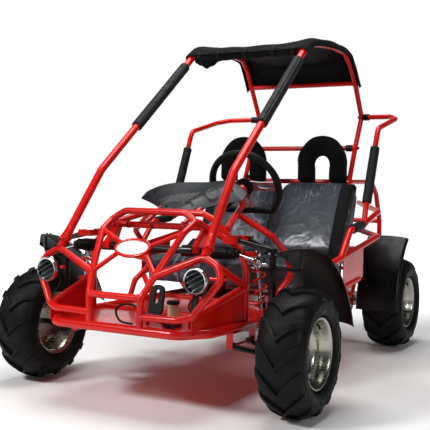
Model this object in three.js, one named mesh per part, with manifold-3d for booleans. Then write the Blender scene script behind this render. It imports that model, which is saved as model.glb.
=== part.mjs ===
import * as THREE from "three";
import { mergeVertices } from "three/addons/utils/BufferGeometryUtils.js";
import Module from "manifold-3d";

const wasm = await Module();
wasm.setup();

// Off road go kart with two seats. Millimetres, +Z up, nose towards -Y, the kart's left towards +X.
// The origin is on the ground under the middle of the kart.

// Overall sizes
const overallLength = 1905;
const frontOverhang = 292.5;
const wheelbase = 1385;
const frameHalf = 300;
const cageTop = 1300;
const deckHeight = 650;
const frontHubReach = 200;
const rearHubReach = 84;
const frontTrackHalf = frameHalf + frontHubReach;
const rearTrackHalf = frameHalf + rearHubReach;
const tyreRadius = 203;
const frontAxleY = frontOverhang - overallLength / 2;
const rearAxleY = frontAxleY + wheelbase;
const axleZ = tyreRadius;

// Tube sizes
const railRadius = 15;
const pillarRadius = 14;
const hoopRadius = 11;
const sideRadius = 12;
const bendFactor = 3.2;
const slimRadius = 8;
function sidesOf(radius) {
  if (radius > sideRadius) return 8;
  return radius > slimRadius ? 6 : 5;
}

// Fits
const jointGap = 0.3;
const runningGap = 0.6;
const overrun = 4;
const weld = 0.0005;

// Places of the frame, as shares of frameHalf, of wheelbase behind the front axle, and of deckHeight,
// the height of the cowl's rear stays.
const placeShares = {
  noseMid: [0, -0.2, 0.404],
  noseCorner: [0.75, -0.2, 0.404],
  railBend: [0.96, -0.135, 0.404],
  railFront: [1, -0.005, 0.404],
  railRear: [1, 0.745, 0.404],
  railEnd: [0.847, 0.812, 0.404],
  crossFront: [1, 0.062, 0.404],
  crossSeat: [1, 0.36, 0.404],
  crossBack: [1, 0.57, 0.404],
  postFoot: [0.31, -0.2, 0.404],
  postLoop: [0.31, -0.2, 0.468],
  postTop: [0.32, -0.2, 0.556],
  xJoint: [0.393, -0.168, 0.656],
  xMid: [0.517, -0.092, 0.856],
  shoulder: [0.54, -0.044, 0.908],
  hoodCorner: [0.383, -0.041, 0.95],
  pillarFoot: [0.907, -0.146, 0.756],
  loopTop: [1.06, -0.151, 0.72],
  loopOut: [1.143, -0.161, 0.662],
  loopLow: [0.873, -0.187, 0.484],
  loopIn: [0.75, -0.2, 0.472],
  panelRear: [1.003, 0.018, 0.592],
  towerFoot: [1, 0.02, 0.404],
  towerMid: [1, 0.018, 0.676],
  towerBend: [0.96, 0.01, 0.764],
  towerTop: [0.633, 0.002, 0.918],
  towerMidTop: [0.5, 0.002, 0.946],
  lowCross: [0.573, -0.005, 0.876],
  lowRailInner: [0.66, -0.005, 0.856],
  lowRailOuter: [0.87, 0.005, 0.806],
  columnFoot: [0.783, 0.008, 0.87],
  columnEnd: [0.45, 0.233, 0.98],
  kneeStart: [0.577, 0.149, 0.942],
  kneeBend: [0.95, 0.19, 0.824],
  kneeSide: [1, 0.258, 0.724],
  kneeBack: [1, 0.291, 0.606],
  kneeLow: [1, 0.211, 0.528],
  kneeFoot: [1, 0.18, 0.404],
  cowlFoot: [0.25, -0.003, 0.88],
  cowlTop: [0.27, 0.12, 1],
  hoopFoot: [0.847, 0.823, 1.14],
  postLow: [0.847, 0.813, 0.462],
  postSeat: [0.847, 0.818, 0.8],
  topRailRear: [0.847, 1.056, 1.15],
  tailHigh: [0.847, 1.11, 1.062],
  lowRailRear: [0.847, 1.07, 0.57],
  lowRailFront: [0.847, 0.895, 0.53],
  flankNose: [1, 0.27, 0.644],
  flankFront: [1.41, 0.29, 0.666],
  flankMid: [1.457, 0.33, 0.68],
  flankRear: [1.457, 0.706, 0.794],
  flankIn: [0.847, 0.882, 0.826],
  flankLowFront: [1.457, 0.4, 0.53],
  flankLowRear: [1.457, 0.564, 0.564],
  downFoot: [1, 0.507, 0.404],
  flankLowNose: [1, 0.31, 0.404],
  armFoot: [1.457, 0.387, 0.696],
  armTop: [1.457, 0.456, 0.85],
  armRear: [1.457, 0.575, 0.88],
  barSocket: [1.457, 0.583, 0.954],
  loopRear: [1.457, 0.709, 0.952],
  loopEnd: [0.847, 0.925, 1],
};

// Places of the cage, as shares of frameHalf, of wheelbase behind the front axle, and of cageTop.
const cageShares = {
  pillarBend: [0.867, 0.003, 0.582],
  pillarTop: [0.82, 0.446, 0.958],
  canopyFront: [0.82, 0.437, 0.951],
  roofFront: [0.82, 0.486, 0.981],
  roofMid: [0.82, 0.644, 1],
  roofRear: [0.82, 0.774, 0.996],
  roofDrop: [0.833, 0.818, 0.965],
  hoopHigh: [0.847, 0.861, 0.908],
  hoopBow: [0.847, 0.933, 0.798],
  hoopLow: [0.847, 0.875, 0.687],
  barBend: [1.457, 0.673, 0.704],
  barHigh: [1.457, 0.689, 0.738],
  barOut: [1.457, 0.865, 0.783],
  barIn: [1.333, 0.904, 0.795],
  barHoop: [0.847, 0.932, 0.798],
};
const tailMidShare = 0.862;
const tailLowShare = 0.646;

// Materials
const paint = (color, roughness, metalness) =>
  new THREE.MeshStandardMaterial({ color, roughness, metalness });
const redPaint = () => paint(0xc4140e, 0.25, 0.1);
const blackPaint = () => paint(0x17181a, 0.4, 0.1);
const blackPlastic = () => paint(0x1b1c1e, 0.6, 0);
const greyPlastic = () => paint(0x35383b, 0.55, 0);
const blackFoam = () => paint(0x202224, 0.9, 0);
const blackCloth = () => paint(0x141416, 0.95, 0);
const greyVinyl = () => paint(0x4a4f58, 0.7, 0);
const tyreRubber = () => paint(0x121212, 0.85, 0);
const polished = () => paint(0xc9ccd0, 0.18, 1);
const steel = () => paint(0x8f9296, 0.35, 1);
const engineGrey = () => paint(0x54585c, 0.5, 0.6);

// Points
const V = (x, y, z) => new THREE.Vector3(x, y, z);
const at = (name) => {
  const height = name in cageShares ? cageTop : deckHeight;
  const [xShare, yShare, zShare] = cageShares[name] ?? placeShares[name];
  return V(xShare * frameHalf, frontAxleY + yShare * wheelbase, zShare * height);
};
const flip = (p) => V(-p.x, p.y, p.z);
const toward = (a, b, distance) => a.clone().add(b.clone().sub(a).setLength(distance));

// A closed geometry as a solid, with its faces turned outwards.
function solid(geometry) {
  const bare = new THREE.BufferGeometry();
  const loose = geometry.index ? geometry.toNonIndexed() : geometry;
  bare.setAttribute("position", loose.getAttribute("position"));
  const merged = mergeVertices(bare, weld);
  const spots = merged.attributes.position.array;
  const corner = (i) => V(spots[3 * i], spots[3 * i + 1], spots[3 * i + 2]);
  const triangles = [];
  let volume = 0;
  for (let i = 0; i < merged.index.count; i += 3) {
    const [a, b, c] = [0, 1, 2].map((k) => merged.index.getX(i + k));
    if (a === b || b === c || c === a) continue;
    triangles.push([a, b, c]);
    volume += corner(a).dot(corner(b).cross(corner(c)));
  }
  const turned = triangles.map(([a, b, c]) => (volume < 0 ? [a, c, b] : [a, b, c]));
  return new wasm.Manifold(
    new wasm.Mesh({
      numProp: 3,
      vertProperties: new Float32Array(spots),
      triVerts: new Uint32Array(turned.flat()),
    }),
  );
}

function geometryOf(made) {
  const data = made.getMesh();
  const geometry = new THREE.BufferGeometry();
  geometry.setAttribute("position", new THREE.BufferAttribute(data.vertProperties, 3));
  geometry.setIndex(new THREE.BufferAttribute(data.triVerts, 1));
  return geometry;
}

const join = (list) => list.reduce((all, one) => all.add(one));
const cut = (body, list) => list.reduce((all, one) => all.subtract(one), body);

// What stays of a piece that is coped at its ends: its largest body, without the crumbs of the cope.
const largest = (made) => made.decompose().reduce((best, one) => (one.volume() > best.volume() ? one : best));

const mirrored = (made) => solid(geometryOf(made).applyMatrix4(new THREE.Matrix4().makeScale(-1, 1, 1)));
const withMirror = (made) => made.add(mirrored(made));

// A path whose sections stand at given stations, carried along without twist.
class StationPath extends THREE.Curve {
  constructor(stations) {
    super();
    this.stations = stations;
  }
  getSpacedPoints() {
    return this.stations;
  }
  computeFrenetFrames() {
    const last = this.stations.length - 1;
    const step = (i) => this.stations[i + 1].clone().sub(this.stations[i]).normalize();
    const tangents = this.stations.map((_, i) => {
      if (i === 0) return step(0);
      if (i === last) return step(last - 1);
      return step(i - 1).add(step(i)).normalize();
    });
    const upright = Math.abs(tangents[0].z) > 0.9;
    const normals = [V(upright ? 1 : 0, 0, upright ? 0 : 1).cross(tangents[0]).normalize()];
    for (let i = 1; i <= last; i++) {
      const turn = new THREE.Quaternion().setFromUnitVectors(tangents[i - 1], tangents[i]);
      normals.push(normals[i - 1].clone().applyQuaternion(turn));
    }
    const binormals = tangents.map((t, i) => t.clone().cross(normals[i]));
    return { tangents, normals, binormals };
  }
}

// Stations along straight runs whose corners are bent to a radius.
const slightTurn = THREE.MathUtils.degToRad(32);
const sharpTurn = THREE.MathUtils.degToRad(72);
function rounded(points, bendRadius) {
  const stations = [points[0]];
  for (let i = 1; i < points.length - 1; i++) {
    const back = points[i - 1].clone().sub(points[i]);
    const ahead = points[i + 1].clone().sub(points[i]);
    const turn = Math.PI - back.angleTo(ahead);
    if (turn < slightTurn) {
      stations.push(points[i]);
      continue;
    }
    const steps = turn < sharpTurn ? 1 : 2;
    const reach = Math.min(bendRadius * Math.tan(turn / 2), back.length() * 0.48, ahead.length() * 0.48);
    const start = points[i].clone().add(back.setLength(reach));
    const end = points[i].clone().add(ahead.setLength(reach));
    stations.push(...new THREE.QuadraticBezierCurve3(start, points[i], end).getPoints(steps));
  }
  stations.push(points[points.length - 1]);
  return stations;
}

function circle(radius, sides) {
  const shape = new THREE.Shape();
  for (let i = 0; i < sides; i++) {
    const angle = ((i + 0.5) * 2 * Math.PI) / sides;
    const [x, y] = [radius * Math.cos(angle), radius * Math.sin(angle)];
    if (i === 0) shape.moveTo(x, y);
    else shape.lineTo(x, y);
  }
  shape.closePath();
  return shape;
}

function sweep(stations, shape) {
  const options = { steps: stations.length - 1, bevelEnabled: false, extrudePath: new StationPath(stations) };
  return solid(new THREE.ExtrudeGeometry(shape, options));
}

const bent = (points, radius, sides = sidesOf(radius)) =>
  sweep(rounded(points, radius * bendFactor), circle(radius, sides));
const bar = (a, b, radius, sides = sidesOf(radius)) => sweep([a, b], circle(radius, sides));

// A list of frame tubes, each [names, radius]; a name that ends in * is on the right side.
const spot = (name) => (name.endsWith("*") ? flip(at(name.slice(0, -1))) : at(name));
const tubePoints = (names) => names.map((name) => (typeof name === "string" ? spot(name) : name));
const across = (names) => [...names, ...[...names].reverse().map((name) => name + "*")];
const otherSide = (names) => names.map((name) => (typeof name === "string" ? name + "*" : flip(name)));
const pair = ([names, radius]) => [
  [names, radius],
  [otherSide(names), radius],
];
const weldment = (tubes) => join(tubes.map(([names, radius]) => bent(tubePoints(names), radius)));

// The same tubes grown by the joint gap, to cope the ends of what meets them.
function relief(tubes) {
  const shapes = tubes.map(([names, radius]) =>
    sweep(rounded(tubePoints(names), radius * bendFactor), circle(radius + jointGap, sidesOf(radius))),
  );
  return join(shapes);
}

function box(width, depth, height, centre, tiltX = 0) {
  const geometry = new THREE.BoxGeometry(width, depth, height);
  geometry.rotateX(tiltX);
  geometry.translate(centre.x, centre.y, centre.z);
  return solid(geometry);
}

// An outline drawn in the plane across the X axis, given a width along X.
function plateAcrossX(outline, xFrom, width) {
  const shape = new THREE.Shape(outline.map(([y, z]) => new THREE.Vector2(y, z)));
  const geometry = new THREE.ExtrudeGeometry(shape, { depth: width, bevelEnabled: false });
  const turn = new THREE.Matrix4().makeBasis(V(0, 1, 0), V(0, 0, 1), V(1, 0, 0));
  geometry.applyMatrix4(turn);
  geometry.translate(xFrom, 0, 0);
  return solid(geometry);
}

// An outline drawn in the plane across the Y axis, given a thickness along Y.
function plateAcrossY(outline, yFrom, thickness) {
  const shape = new THREE.Shape(outline.map(([x, z]) => new THREE.Vector2(x, z)));
  const geometry = new THREE.ExtrudeGeometry(shape, { depth: thickness, bevelEnabled: false });
  const turn = new THREE.Matrix4().makeBasis(V(1, 0, 0), V(0, 0, 1), V(0, -1, 0));
  geometry.applyMatrix4(turn);
  geometry.translate(0, yFrom + thickness, 0);
  return solid(geometry);
}

// A flat sheet between corners that lie in one plane.
function sheet(corners, thickness) {
  const along = corners[1].clone().sub(corners[0]).normalize();
  const normal = along.clone().cross(corners[2].clone().sub(corners[0])).normalize();
  const rise = normal.clone().cross(along);
  const flat = corners.map((p) => {
    const from = p.clone().sub(corners[0]);
    return new THREE.Vector2(from.dot(along), from.dot(rise));
  });
  const geometry = new THREE.ExtrudeGeometry(new THREE.Shape(flat), { depth: thickness, bevelEnabled: false });
  geometry.translate(0, 0, -thickness / 2);
  geometry.applyMatrix4(new THREE.Matrix4().makeBasis(along, rise, normal).setPosition(corners[0]));
  return solid(geometry);
}

// A turned piece: [radius, place along the axis], on the X, Y or Z axis.
function turned(profile, axis, sides = 16) {
  const points = profile.map(([radius, along]) => new THREE.Vector2(radius, along));
  const onAxis = points[0].x === 0 && points[points.length - 1].x === 0;
  if (!onAxis) points.push(points[0].clone());
  const geometry = new THREE.LatheGeometry(points, sides);
  if (axis === "x") geometry.rotateZ(-Math.PI / 2);
  if (axis === "z") geometry.rotateX(Math.PI / 2);
  return solid(geometry);
}

// A closed shell between two grids of points that share their outline.
function shell(columns, rows, outer, inner) {
  const places = [];
  const faces = [];
  const stride = columns + 1;
  const layer = stride * (rows + 1);
  for (const surface of [outer, inner])
    for (let j = 0; j <= rows; j++)
      for (let i = 0; i <= columns; i++) places.push(...surface(i / columns, j / rows).toArray());
  const quad = (a, b, c, d) => faces.push(a, b, c, a, c, d);
  for (let j = 0; j < rows; j++)
    for (let i = 0; i < columns; i++) {
      const a = j * stride + i;
      quad(a, a + 1, a + 1 + stride, a + stride);
      quad(layer + a, layer + a + stride, layer + a + 1 + stride, layer + a + 1);
    }
  const rim = [];
  for (let i = 0; i < columns; i++) rim.push(i);
  for (let j = 0; j < rows; j++) rim.push(j * stride + columns);
  for (let i = columns; i > 0; i--) rim.push(rows * stride + i);
  for (let j = rows; j > 0; j--) rim.push(j * stride);
  rim.forEach((a, k) => {
    const b = rim[(k + 1) % rim.length];
    quad(b, a, a + layer, b + layer);
  });
  const geometry = new THREE.BufferGeometry();
  geometry.setAttribute("position", new THREE.Float32BufferAttribute(places, 3));
  geometry.setIndex(faces);
  return solid(geometry);
}

// Scene graph
const kart = new THREE.Group();
const groups = {};
function groupOf(name) {
  if (!groups[name]) {
    groups[name] = new THREE.Group();
    kart.add(groups[name]);
  }
  return groups[name];
}
function add(group, name, made, material) {
  const mesh = new THREE.Mesh(geometryOf(made), material);
  mesh.name = name;
  group.add(mesh);
  return mesh;
}
function addPair(group, name, left, material) {
  add(group, name + "_left", left, material());
  add(group, name + "_right", mirrored(left), material());
}

// Front suspension: equal, parallel arms on each side.
const armReach = 103;
const armInnerX = frameHalf;
const kingpinX = armInnerX + armReach;
const armDrop = 28;
const upperPivotZ = 536;
const lowerPivotZ = 208;
const upperBushHalf = 42;
const lowerBushHalf = 65;
const bushLength = 26;
const bushRadius = 11;
const pinRadius = 5;
const pinBore = 6.4;
const earThickness = 4;
const upperArmRadius = 7;
const lowerArmRadius = 8.5;
const legOffset = 4;
const cupRadius = 16;
const cupBore = 10.15;
const cupHalf = 7;
const ballRadius = 10;
const neckRadius = 6;
const postRadius = 12;
const postClear = 16;
const upperBallZ = upperPivotZ - armDrop;
const lowerBallZ = lowerPivotZ - armDrop;

// Steering
const steerArmLength = 65;
const rackLead = 62;
const rackZ = 496;
const rackRadius = 9;
const rackHousingRadius = 12;
const rackEndRadius = 15;
const rackHousingHalf = 250;
const rackEndLength = 98;
const tieRodRadius = 5;
const tieBallRadius = 8;
const columnX = 135;
const wheelBehindAxle = 345;
const wheelCentreY = frontAxleY + wheelBehindAxle;
const wheelCentreZ = 710;
const shaftRadius = 9;
const rackY = frontAxleY - rackLead;
const wheelCentre = V(columnX, wheelCentreY, wheelCentreZ);
const pinion = V(columnX, rackY, rackZ);
const columnDirection = wheelCentre.clone().sub(pinion).normalize();

// Front shocks
const shockBehindAxle = 37;
const shockY = frontAxleY + shockBehindAxle;
const shockLowInset = 32;
const shockLowX = kingpinX - shockLowInset;
const shockLowZ = 207;
const shockHighOffset = 30;
const shockHighX = armInnerX + shockHighOffset;
const shockHighZ = 490;
const eyeRadius = 11;
const eyeWidth = 18;
const eyePinRadius = 4.5;
const eyeBore = 5.8;
const earGap = 1.2;
const earWidth = 15;
const eyeNeck = 6;

// A mounting fork: a U-shaped plate open along one direction, with a pin through its two ears.
// The frame of the fork: u points out of its opening, v along the pin, w across both.
function uPlate(centre, basis, sizes) {
  const { mouth, web, half, wall, width } = sizes;
  const shape = new THREE.Shape(
    [
      [mouth, -half - wall],
      [mouth, -half],
      [-web, -half],
      [-web, half],
      [mouth, half],
      [mouth, half + wall],
      [-web - wall, half + wall],
      [-web - wall, -half - wall],
    ].map(([u, v]) => new THREE.Vector2(u, v)),
  );
  const geometry = new THREE.ExtrudeGeometry(shape, { depth: width, bevelEnabled: false });
  geometry.translate(0, 0, -width / 2);
  geometry.applyMatrix4(new THREE.Matrix4().makeBasis(...basis).setPosition(centre));
  const pinEnd = basis[1].clone().multiplyScalar(half + wall);
  const pin = bar(centre.clone().sub(pinEnd), centre.clone().add(pinEnd), sizes.pin);
  return join([solid(geometry), pin]);
}
const openOut = [V(1, 0, 0), V(0, 1, 0), V(0, 0, 1)];
const openUp = [V(0, 0, 1), V(0, -1, 0), V(1, 0, 0)];
const openDown = [V(0, 0, -1), V(0, 1, 0), V(1, 0, 0)];
const openUpAcross = [V(0, 0, 1), V(1, 0, 0), V(0, 1, 0)];
const openDownAcross = [V(0, 0, -1), V(-1, 0, 0), V(0, 1, 0)];
const shockFork = (web) => ({
  mouth: earWidth / 2,
  web,
  half: eyeWidth / 2 + earGap,
  wall: earThickness,
  width: earWidth,
  pin: eyePinRadius,
});
const armFork = (bushHalf, web) => ({
  mouth: earReach,
  web,
  half: bushHalf + bushLength / 2 + bracketGap,
  wall: earThickness,
  width: 2 * bushRadius,
  pin: pinRadius,
});
const bracketGap = 1;
const earReach = 8;

// Frame tubes
const floorTubes = [
  [across(["railEnd", "railRear", "railFront", "railBend", "noseCorner"]), railRadius],
  [across(["crossFront"]), hoopRadius],
  [across(["crossSeat"]), hoopRadius],
  [across(["crossBack"]), hoopRadius],
];
const panelRail = ["loopLow", "panelRear"];
const towerPost = ["towerFoot", "towerMid"];
const lampLoop = [
  [["xJoint", "pillarFoot", "loopTop", "loopOut", "loopLow", "loopIn", "postLoop"], hoopRadius],
];
const towerHoop = [across(["towerFoot", "towerMid", "towerBend", "towerTop", "towerMidTop"]), hoopRadius];
const cowlStays = [towerHoop, ...pair([["cowlFoot", "cowlTop"], hoopRadius - 2])];
const noseTubes = [
  [across(["postFoot", "postLoop", "postTop", "xJoint", "xMid", "shoulder", "hoodCorner"]), hoopRadius],
  [across(["postTop"]), hoopRadius],
  ...pair(lampLoop[0]),
  ...pair([panelRail, hoopRadius]),
  ...pair([["pillarFoot", "panelRear"], hoopRadius]),
  towerHoop,
  [across(["lowRailOuter", "lowRailInner", "lowCross"]), hoopRadius],
  ...pair([["shoulder", "lowRailInner"], hoopRadius]),
  ...pair([["cowlFoot", "cowlTop"], hoopRadius - 2]),
  [["columnFoot", "kneeStart", "columnEnd"], hoopRadius],
  [["columnFoot*", "kneeStart*"], hoopRadius],
  ...pair([["kneeStart", "kneeBend", "kneeSide", "kneeBack", "kneeLow", "kneeFoot"], hoopRadius]),
];
const tailY = overallLength / 2 - hoopRadius;
const tailMid = V(at("hoopFoot").x, tailY, tailMidShare * deckHeight);
const tailLow = V(at("hoopFoot").x, tailY, tailLowShare * deckHeight);
const rearTubes = [
  ...pair([["railEnd", "postLow", "postSeat", "hoopFoot"], hoopRadius]),
  ...pair([
    ["hoopFoot", "topRailRear", "tailHigh", tailMid, tailLow, "lowRailRear", "lowRailFront", "postLow"],
    hoopRadius,
  ]),
  [across(["hoopFoot"]), hoopRadius],
  [across(["postLow"]), hoopRadius],
  [[tailMid, flip(tailMid)], hoopRadius],
  [[tailLow, flip(tailLow)], hoopRadius],
];
const hoopTubes = pair([
  ["roofFront", "roofMid", "roofRear", "roofDrop", "hoopHigh", "hoopBow", "hoopLow", "hoopFoot"],
  hoopRadius,
]);
const sideTubes = [
  [["flankNose", "flankFront", "flankMid", "flankRear", "flankIn"], sideRadius],
  [["flankLowNose", "flankLowFront", "flankLowRear", "downFoot"], sideRadius],
  [["armFoot", "armTop", "armRear"], sideRadius],
  [["armRear", "loopRear", "loopEnd"], sideRadius - 1],
  [["armRear", "barSocket", "barBend", "barHigh", "barOut", "barIn", "barHoop"], sideRadius - 1],
];

// Floor: perimeter rails, cross tubes, sheet floor, side panels and the lower arm brackets.
const sheetThickness = 2.5;
function floorFrame() {
  const outline = ["noseCorner", "railBend", "railFront", "railRear"].map(at);
  const loop = [...outline, ...[...outline].reverse().map(flip)];
  const pan = new THREE.Shape(loop.map((p) => new THREE.Vector2(p.x, p.y)));
  const floor = new THREE.ExtrudeGeometry(pan, { depth: sheetThickness, bevelEnabled: false });
  floor.translate(0, 0, at("railFront").z - sheetThickness / 2);
  const low = at("loopLow");
  const high = at("panelRear");
  const drop = (p, x) => V(x, p.y, at("railFront").z);
  const panel = sheet([drop(high, high.x), drop(low, low.x), low, high], sheetThickness);
  const fitted = cut(panel, [relief(lampLoop), relief([[panelRail, hoopRadius], [towerPost, hoopRadius]])]);
  const armWeb = at("railFront").z - lowerPivotZ - railRadius;
  const bracket = uPlate(V(armInnerX, frontAxleY, lowerPivotZ), openDown, armFork(lowerBushHalf, armWeb));
  return join([weldment(floorTubes), solid(floor), withMirror(join([fitted, bracket, seatRail()]))]);
}

// Seat rails on the floor, one under each seat
const seatRailX = 170;
const seatRailWidth = 14;
function seatRail() {
  const top = seatBaseZ - jointGap;
  const [front, rear] = [at("crossSeat"), at("crossBack")];
  const centre = V(seatRailX, (front.y + rear.y) / 2, (top + front.z) / 2);
  return box(seatRailWidth, rear.y - front.y, top - front.z, centre);
}

// Nose: hood hoop, lamp loops, tower hoop, cross tubes, brackets and the column bearing.
const lampInset = 24;
const lampLead = 225;
const lampHeight = 425;
const lampCentre = V(frameHalf - lampInset, frontAxleY - lampLead, lampHeight);
const lampRadius = 40;
const lampDepth = 46;
const lampTabRadius = 5.5;
const stubLength = 26;
const bearingRadius = 19;
const bearingLength = 24;
const bearingBack = 40;
const strapX = 172;
const strapWidth = 22;
function noseFrame() {
  const armWeb = armInnerX - at("lowRailOuter").x;
  const upperFork = uPlate(V(armInnerX, frontAxleY, upperPivotZ), openOut, armFork(upperBushHalf, armWeb));
  const towerY = at("towerMid").y;
  const shockWeb = eyeRadius + 2 * earGap;
  const topFork = uPlate(V(shockHighX, shockY, shockHighZ), openOut, shockFork(shockWeb));
  const shockWebX = shockHighX - shockWeb - earThickness;
  const tieStart = at("towerBend").x;
  const shockTie = box(
    shockWebX - tieStart,
    shockY - towerY + hoopRadius,
    earWidth,
    V((shockWebX + tieStart) / 2, (shockY + towerY) / 2, shockHighZ),
  );
  const foot = at("pillarFoot");
  const stub = bar(foot, toward(foot, at("pillarBend"), stubLength), pillarRadius);
  const lampBack = lampCentre.y + lampDepth + jointGap;
  const loopSide = at("loopOut");
  const tabY = lampBack + lampTabRadius * 0.85;
  const tabCorner = V(loopSide.x - hoopRadius, tabY, lampCentre.z);
  const lampTab = sweep([loopSide, tabCorner, V(lampCentre.x, tabY, lampCentre.z)], circle(lampTabRadius, 5));
  const cross = at("lowCross");
  const strapTop = cross.z + hoopRadius / 2;
  const strapRise = strapTop - rackZ;
  const strap = plateAcrossX(
    [
      [cross.y - hoopRadius, strapTop],
      [cross.y + hoopRadius, strapTop],
      [rackY + rackEndRadius * 1.5, rackZ - rackEndRadius * 0.4],
      [rackY - rackEndRadius * 1.5, rackZ - rackEndRadius * 0.4],
      [rackY - rackEndRadius * 1.5, rackZ + rackEndRadius],
    ],
    strapX - strapWidth / 2,
    strapWidth,
  );
  const pairs = withMirror(join([upperFork, topFork, shockTie, stub, lampTab, strap]));
  const bearingCentre = wheelCentre.clone().addScaledVector(columnDirection, -bearingBack);
  const bearing = bar(
    bearingCentre.clone().addScaledVector(columnDirection, -bearingLength / 2),
    bearingCentre.clone().addScaledVector(columnDirection, bearingLength / 2),
    bearingRadius,
    8,
  );
  const hanger = bent([at("columnEnd"), bearingCentre.clone()], hoopRadius);
  const bearingBore = bar(
    bearingCentre.clone().addScaledVector(columnDirection, -bearingLength),
    bearingCentre.clone().addScaledVector(columnDirection, bearingLength),
    shaftRadius + runningGap * 2,
    8,
  );
  const rackBore = bar(
    V(-rackHousingHalf, rackY, rackZ),
    V(rackHousingHalf, rackY, rackZ),
    rackEndRadius + jointGap,
    8,
  );
  const all = join([weldment(noseTubes), pairs, bearing, hanger]);
  return cut(all, [bearingBore, rackBore, relief(floorTubes)]);
}

const cageBars = [
  [across(["canopyFront"]), hoopRadius],
  [across(["hoopHigh"]), hoopRadius - 1],
  [across(["hoopLow"]), hoopRadius],
];
const cageTubes = [
  ...pair([["pillarBend", "pillarTop", "roofFront", "roofMid"], pillarRadius]),
  ...hoopTubes,
  ...cageBars,
];

// Roll cage: pillars with flared feet, roof rails and rear hoops in one, cross bars.
const flareRadius = 19;
const flareLength = 52;
function rollCage() {
  const foot = toward(at("pillarFoot"), at("pillarBend"), stubLength + jointGap);
  const pillar = bent([foot, at("pillarBend"), at("pillarTop"), at("roofFront"), at("roofMid")], pillarRadius);
  const flare = solid(new THREE.CylinderGeometry(pillarRadius - jointGap, flareRadius, flareLength, 8));
  const lean = at("pillarBend").sub(at("pillarFoot")).normalize();
  const turn = new THREE.Quaternion().setFromUnitVectors(V(0, 1, 0), lean);
  const middle = foot.clone().addScaledVector(lean, flareLength / 2);
  const seatedFlare = solid(
    geometryOf(flare).applyMatrix4(new THREE.Matrix4().compose(middle, turn, V(1, 1, 1))),
  );
  const sides = withMirror(join([pillar, seatedFlare]));
  return largest(cut(join([sides, weldment([...hoopTubes, ...cageBars])]), [relief(rearTubes)]));
}

// Seat: a bench base and a reclined back, with crowns and sewn channels.
const seatHalfWidth = 345;
const seatBaseDepth = 380;
const seatBaseHeight = 100;
const seatBehindAxle = 433;
const seatFrontY = frontAxleY + seatBehindAxle;
const seatBaseZ = 325;
const seatBackThickness = 78;
const seatBackHeight = 350;
const seatBackBehindAxle = 823;
const seatBackFootY = frontAxleY + seatBackBehindAxle;
const seatBackFootZ = 428;
const recline = THREE.MathUtils.degToRad(25);
const cushionRound = 30;
const seatCrown = 16;
const channelDepth = 7;
const channelWidth = 14;

// A cushion with rounded edges, a crown on its top and sewn channels along it.
function cushion(width, depth, height, columns, rows, channels, valley) {
  const geometry = new THREE.BoxGeometry(width, depth, height, columns, rows, 2);
  const spots = geometry.attributes.position;
  const half = V(width / 2, depth / 2, height / 2);
  for (let i = 0; i < spots.count; i++) {
    const p = new THREE.Vector3().fromBufferAttribute(spots, i);
    const inner = p.clone().clamp(half.clone().negate().addScalar(cushionRound), half.clone().subScalar(cushionRound));
    const out = p.clone().sub(inner);
    if (out.length() > cushionRound) out.setLength(cushionRound);
    const q = inner.add(out);
    const [u, v] = [p.x / half.x, p.y / half.y];
    const swell = (1 - u ** 4) * (1 - v ** 4);
    if (p.z > 0) {
      q.z += seatCrown * swell;
      for (const share of channels)
        q.z -= channelDepth * swell * Math.exp(-(((p.x - share * half.x) / channelWidth) ** 2));
      q.z -= valley * swell * Math.exp(-((p.x / (3 * channelWidth)) ** 2));
    }
    q.x -= Math.sign(p.x) * Math.abs(u) ** 8 * seatCrown * 0.4 * (1 - v * v);
    spots.setXYZ(i, q.x, q.y, q.z);
  }
  return geometry;
}
const seatChannelShares = [-5 / 7, -2 / 7, 2 / 7, 5 / 7];

function seatBase() {
  const geometry = cushion(2 * seatHalfWidth, seatBaseDepth, seatBaseHeight, 14, 4, seatChannelShares, channelDepth);
  geometry.translate(0, seatFrontY + seatBaseDepth / 2, seatBaseZ + seatBaseHeight / 2);
  return solid(geometry);
}

// The back's own frame: X across, Y up along the back, Z out of its front face.
const backFrame = new THREE.Matrix4()
  .makeTranslation(0, seatBackFootY, seatBackFootZ)
  .multiply(new THREE.Matrix4().makeRotationX(Math.PI / 2 - recline));
function seatBack() {
  const geometry = cushion(
    2 * seatHalfWidth,
    seatBackHeight,
    seatBackThickness,
    14,
    4,
    seatChannelShares,
    3 * channelDepth,
  );
  geometry.translate(0, seatBackHeight / 2, -seatBackThickness / 2);
  return solid(geometry.applyMatrix4(backFrame));
}

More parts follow.
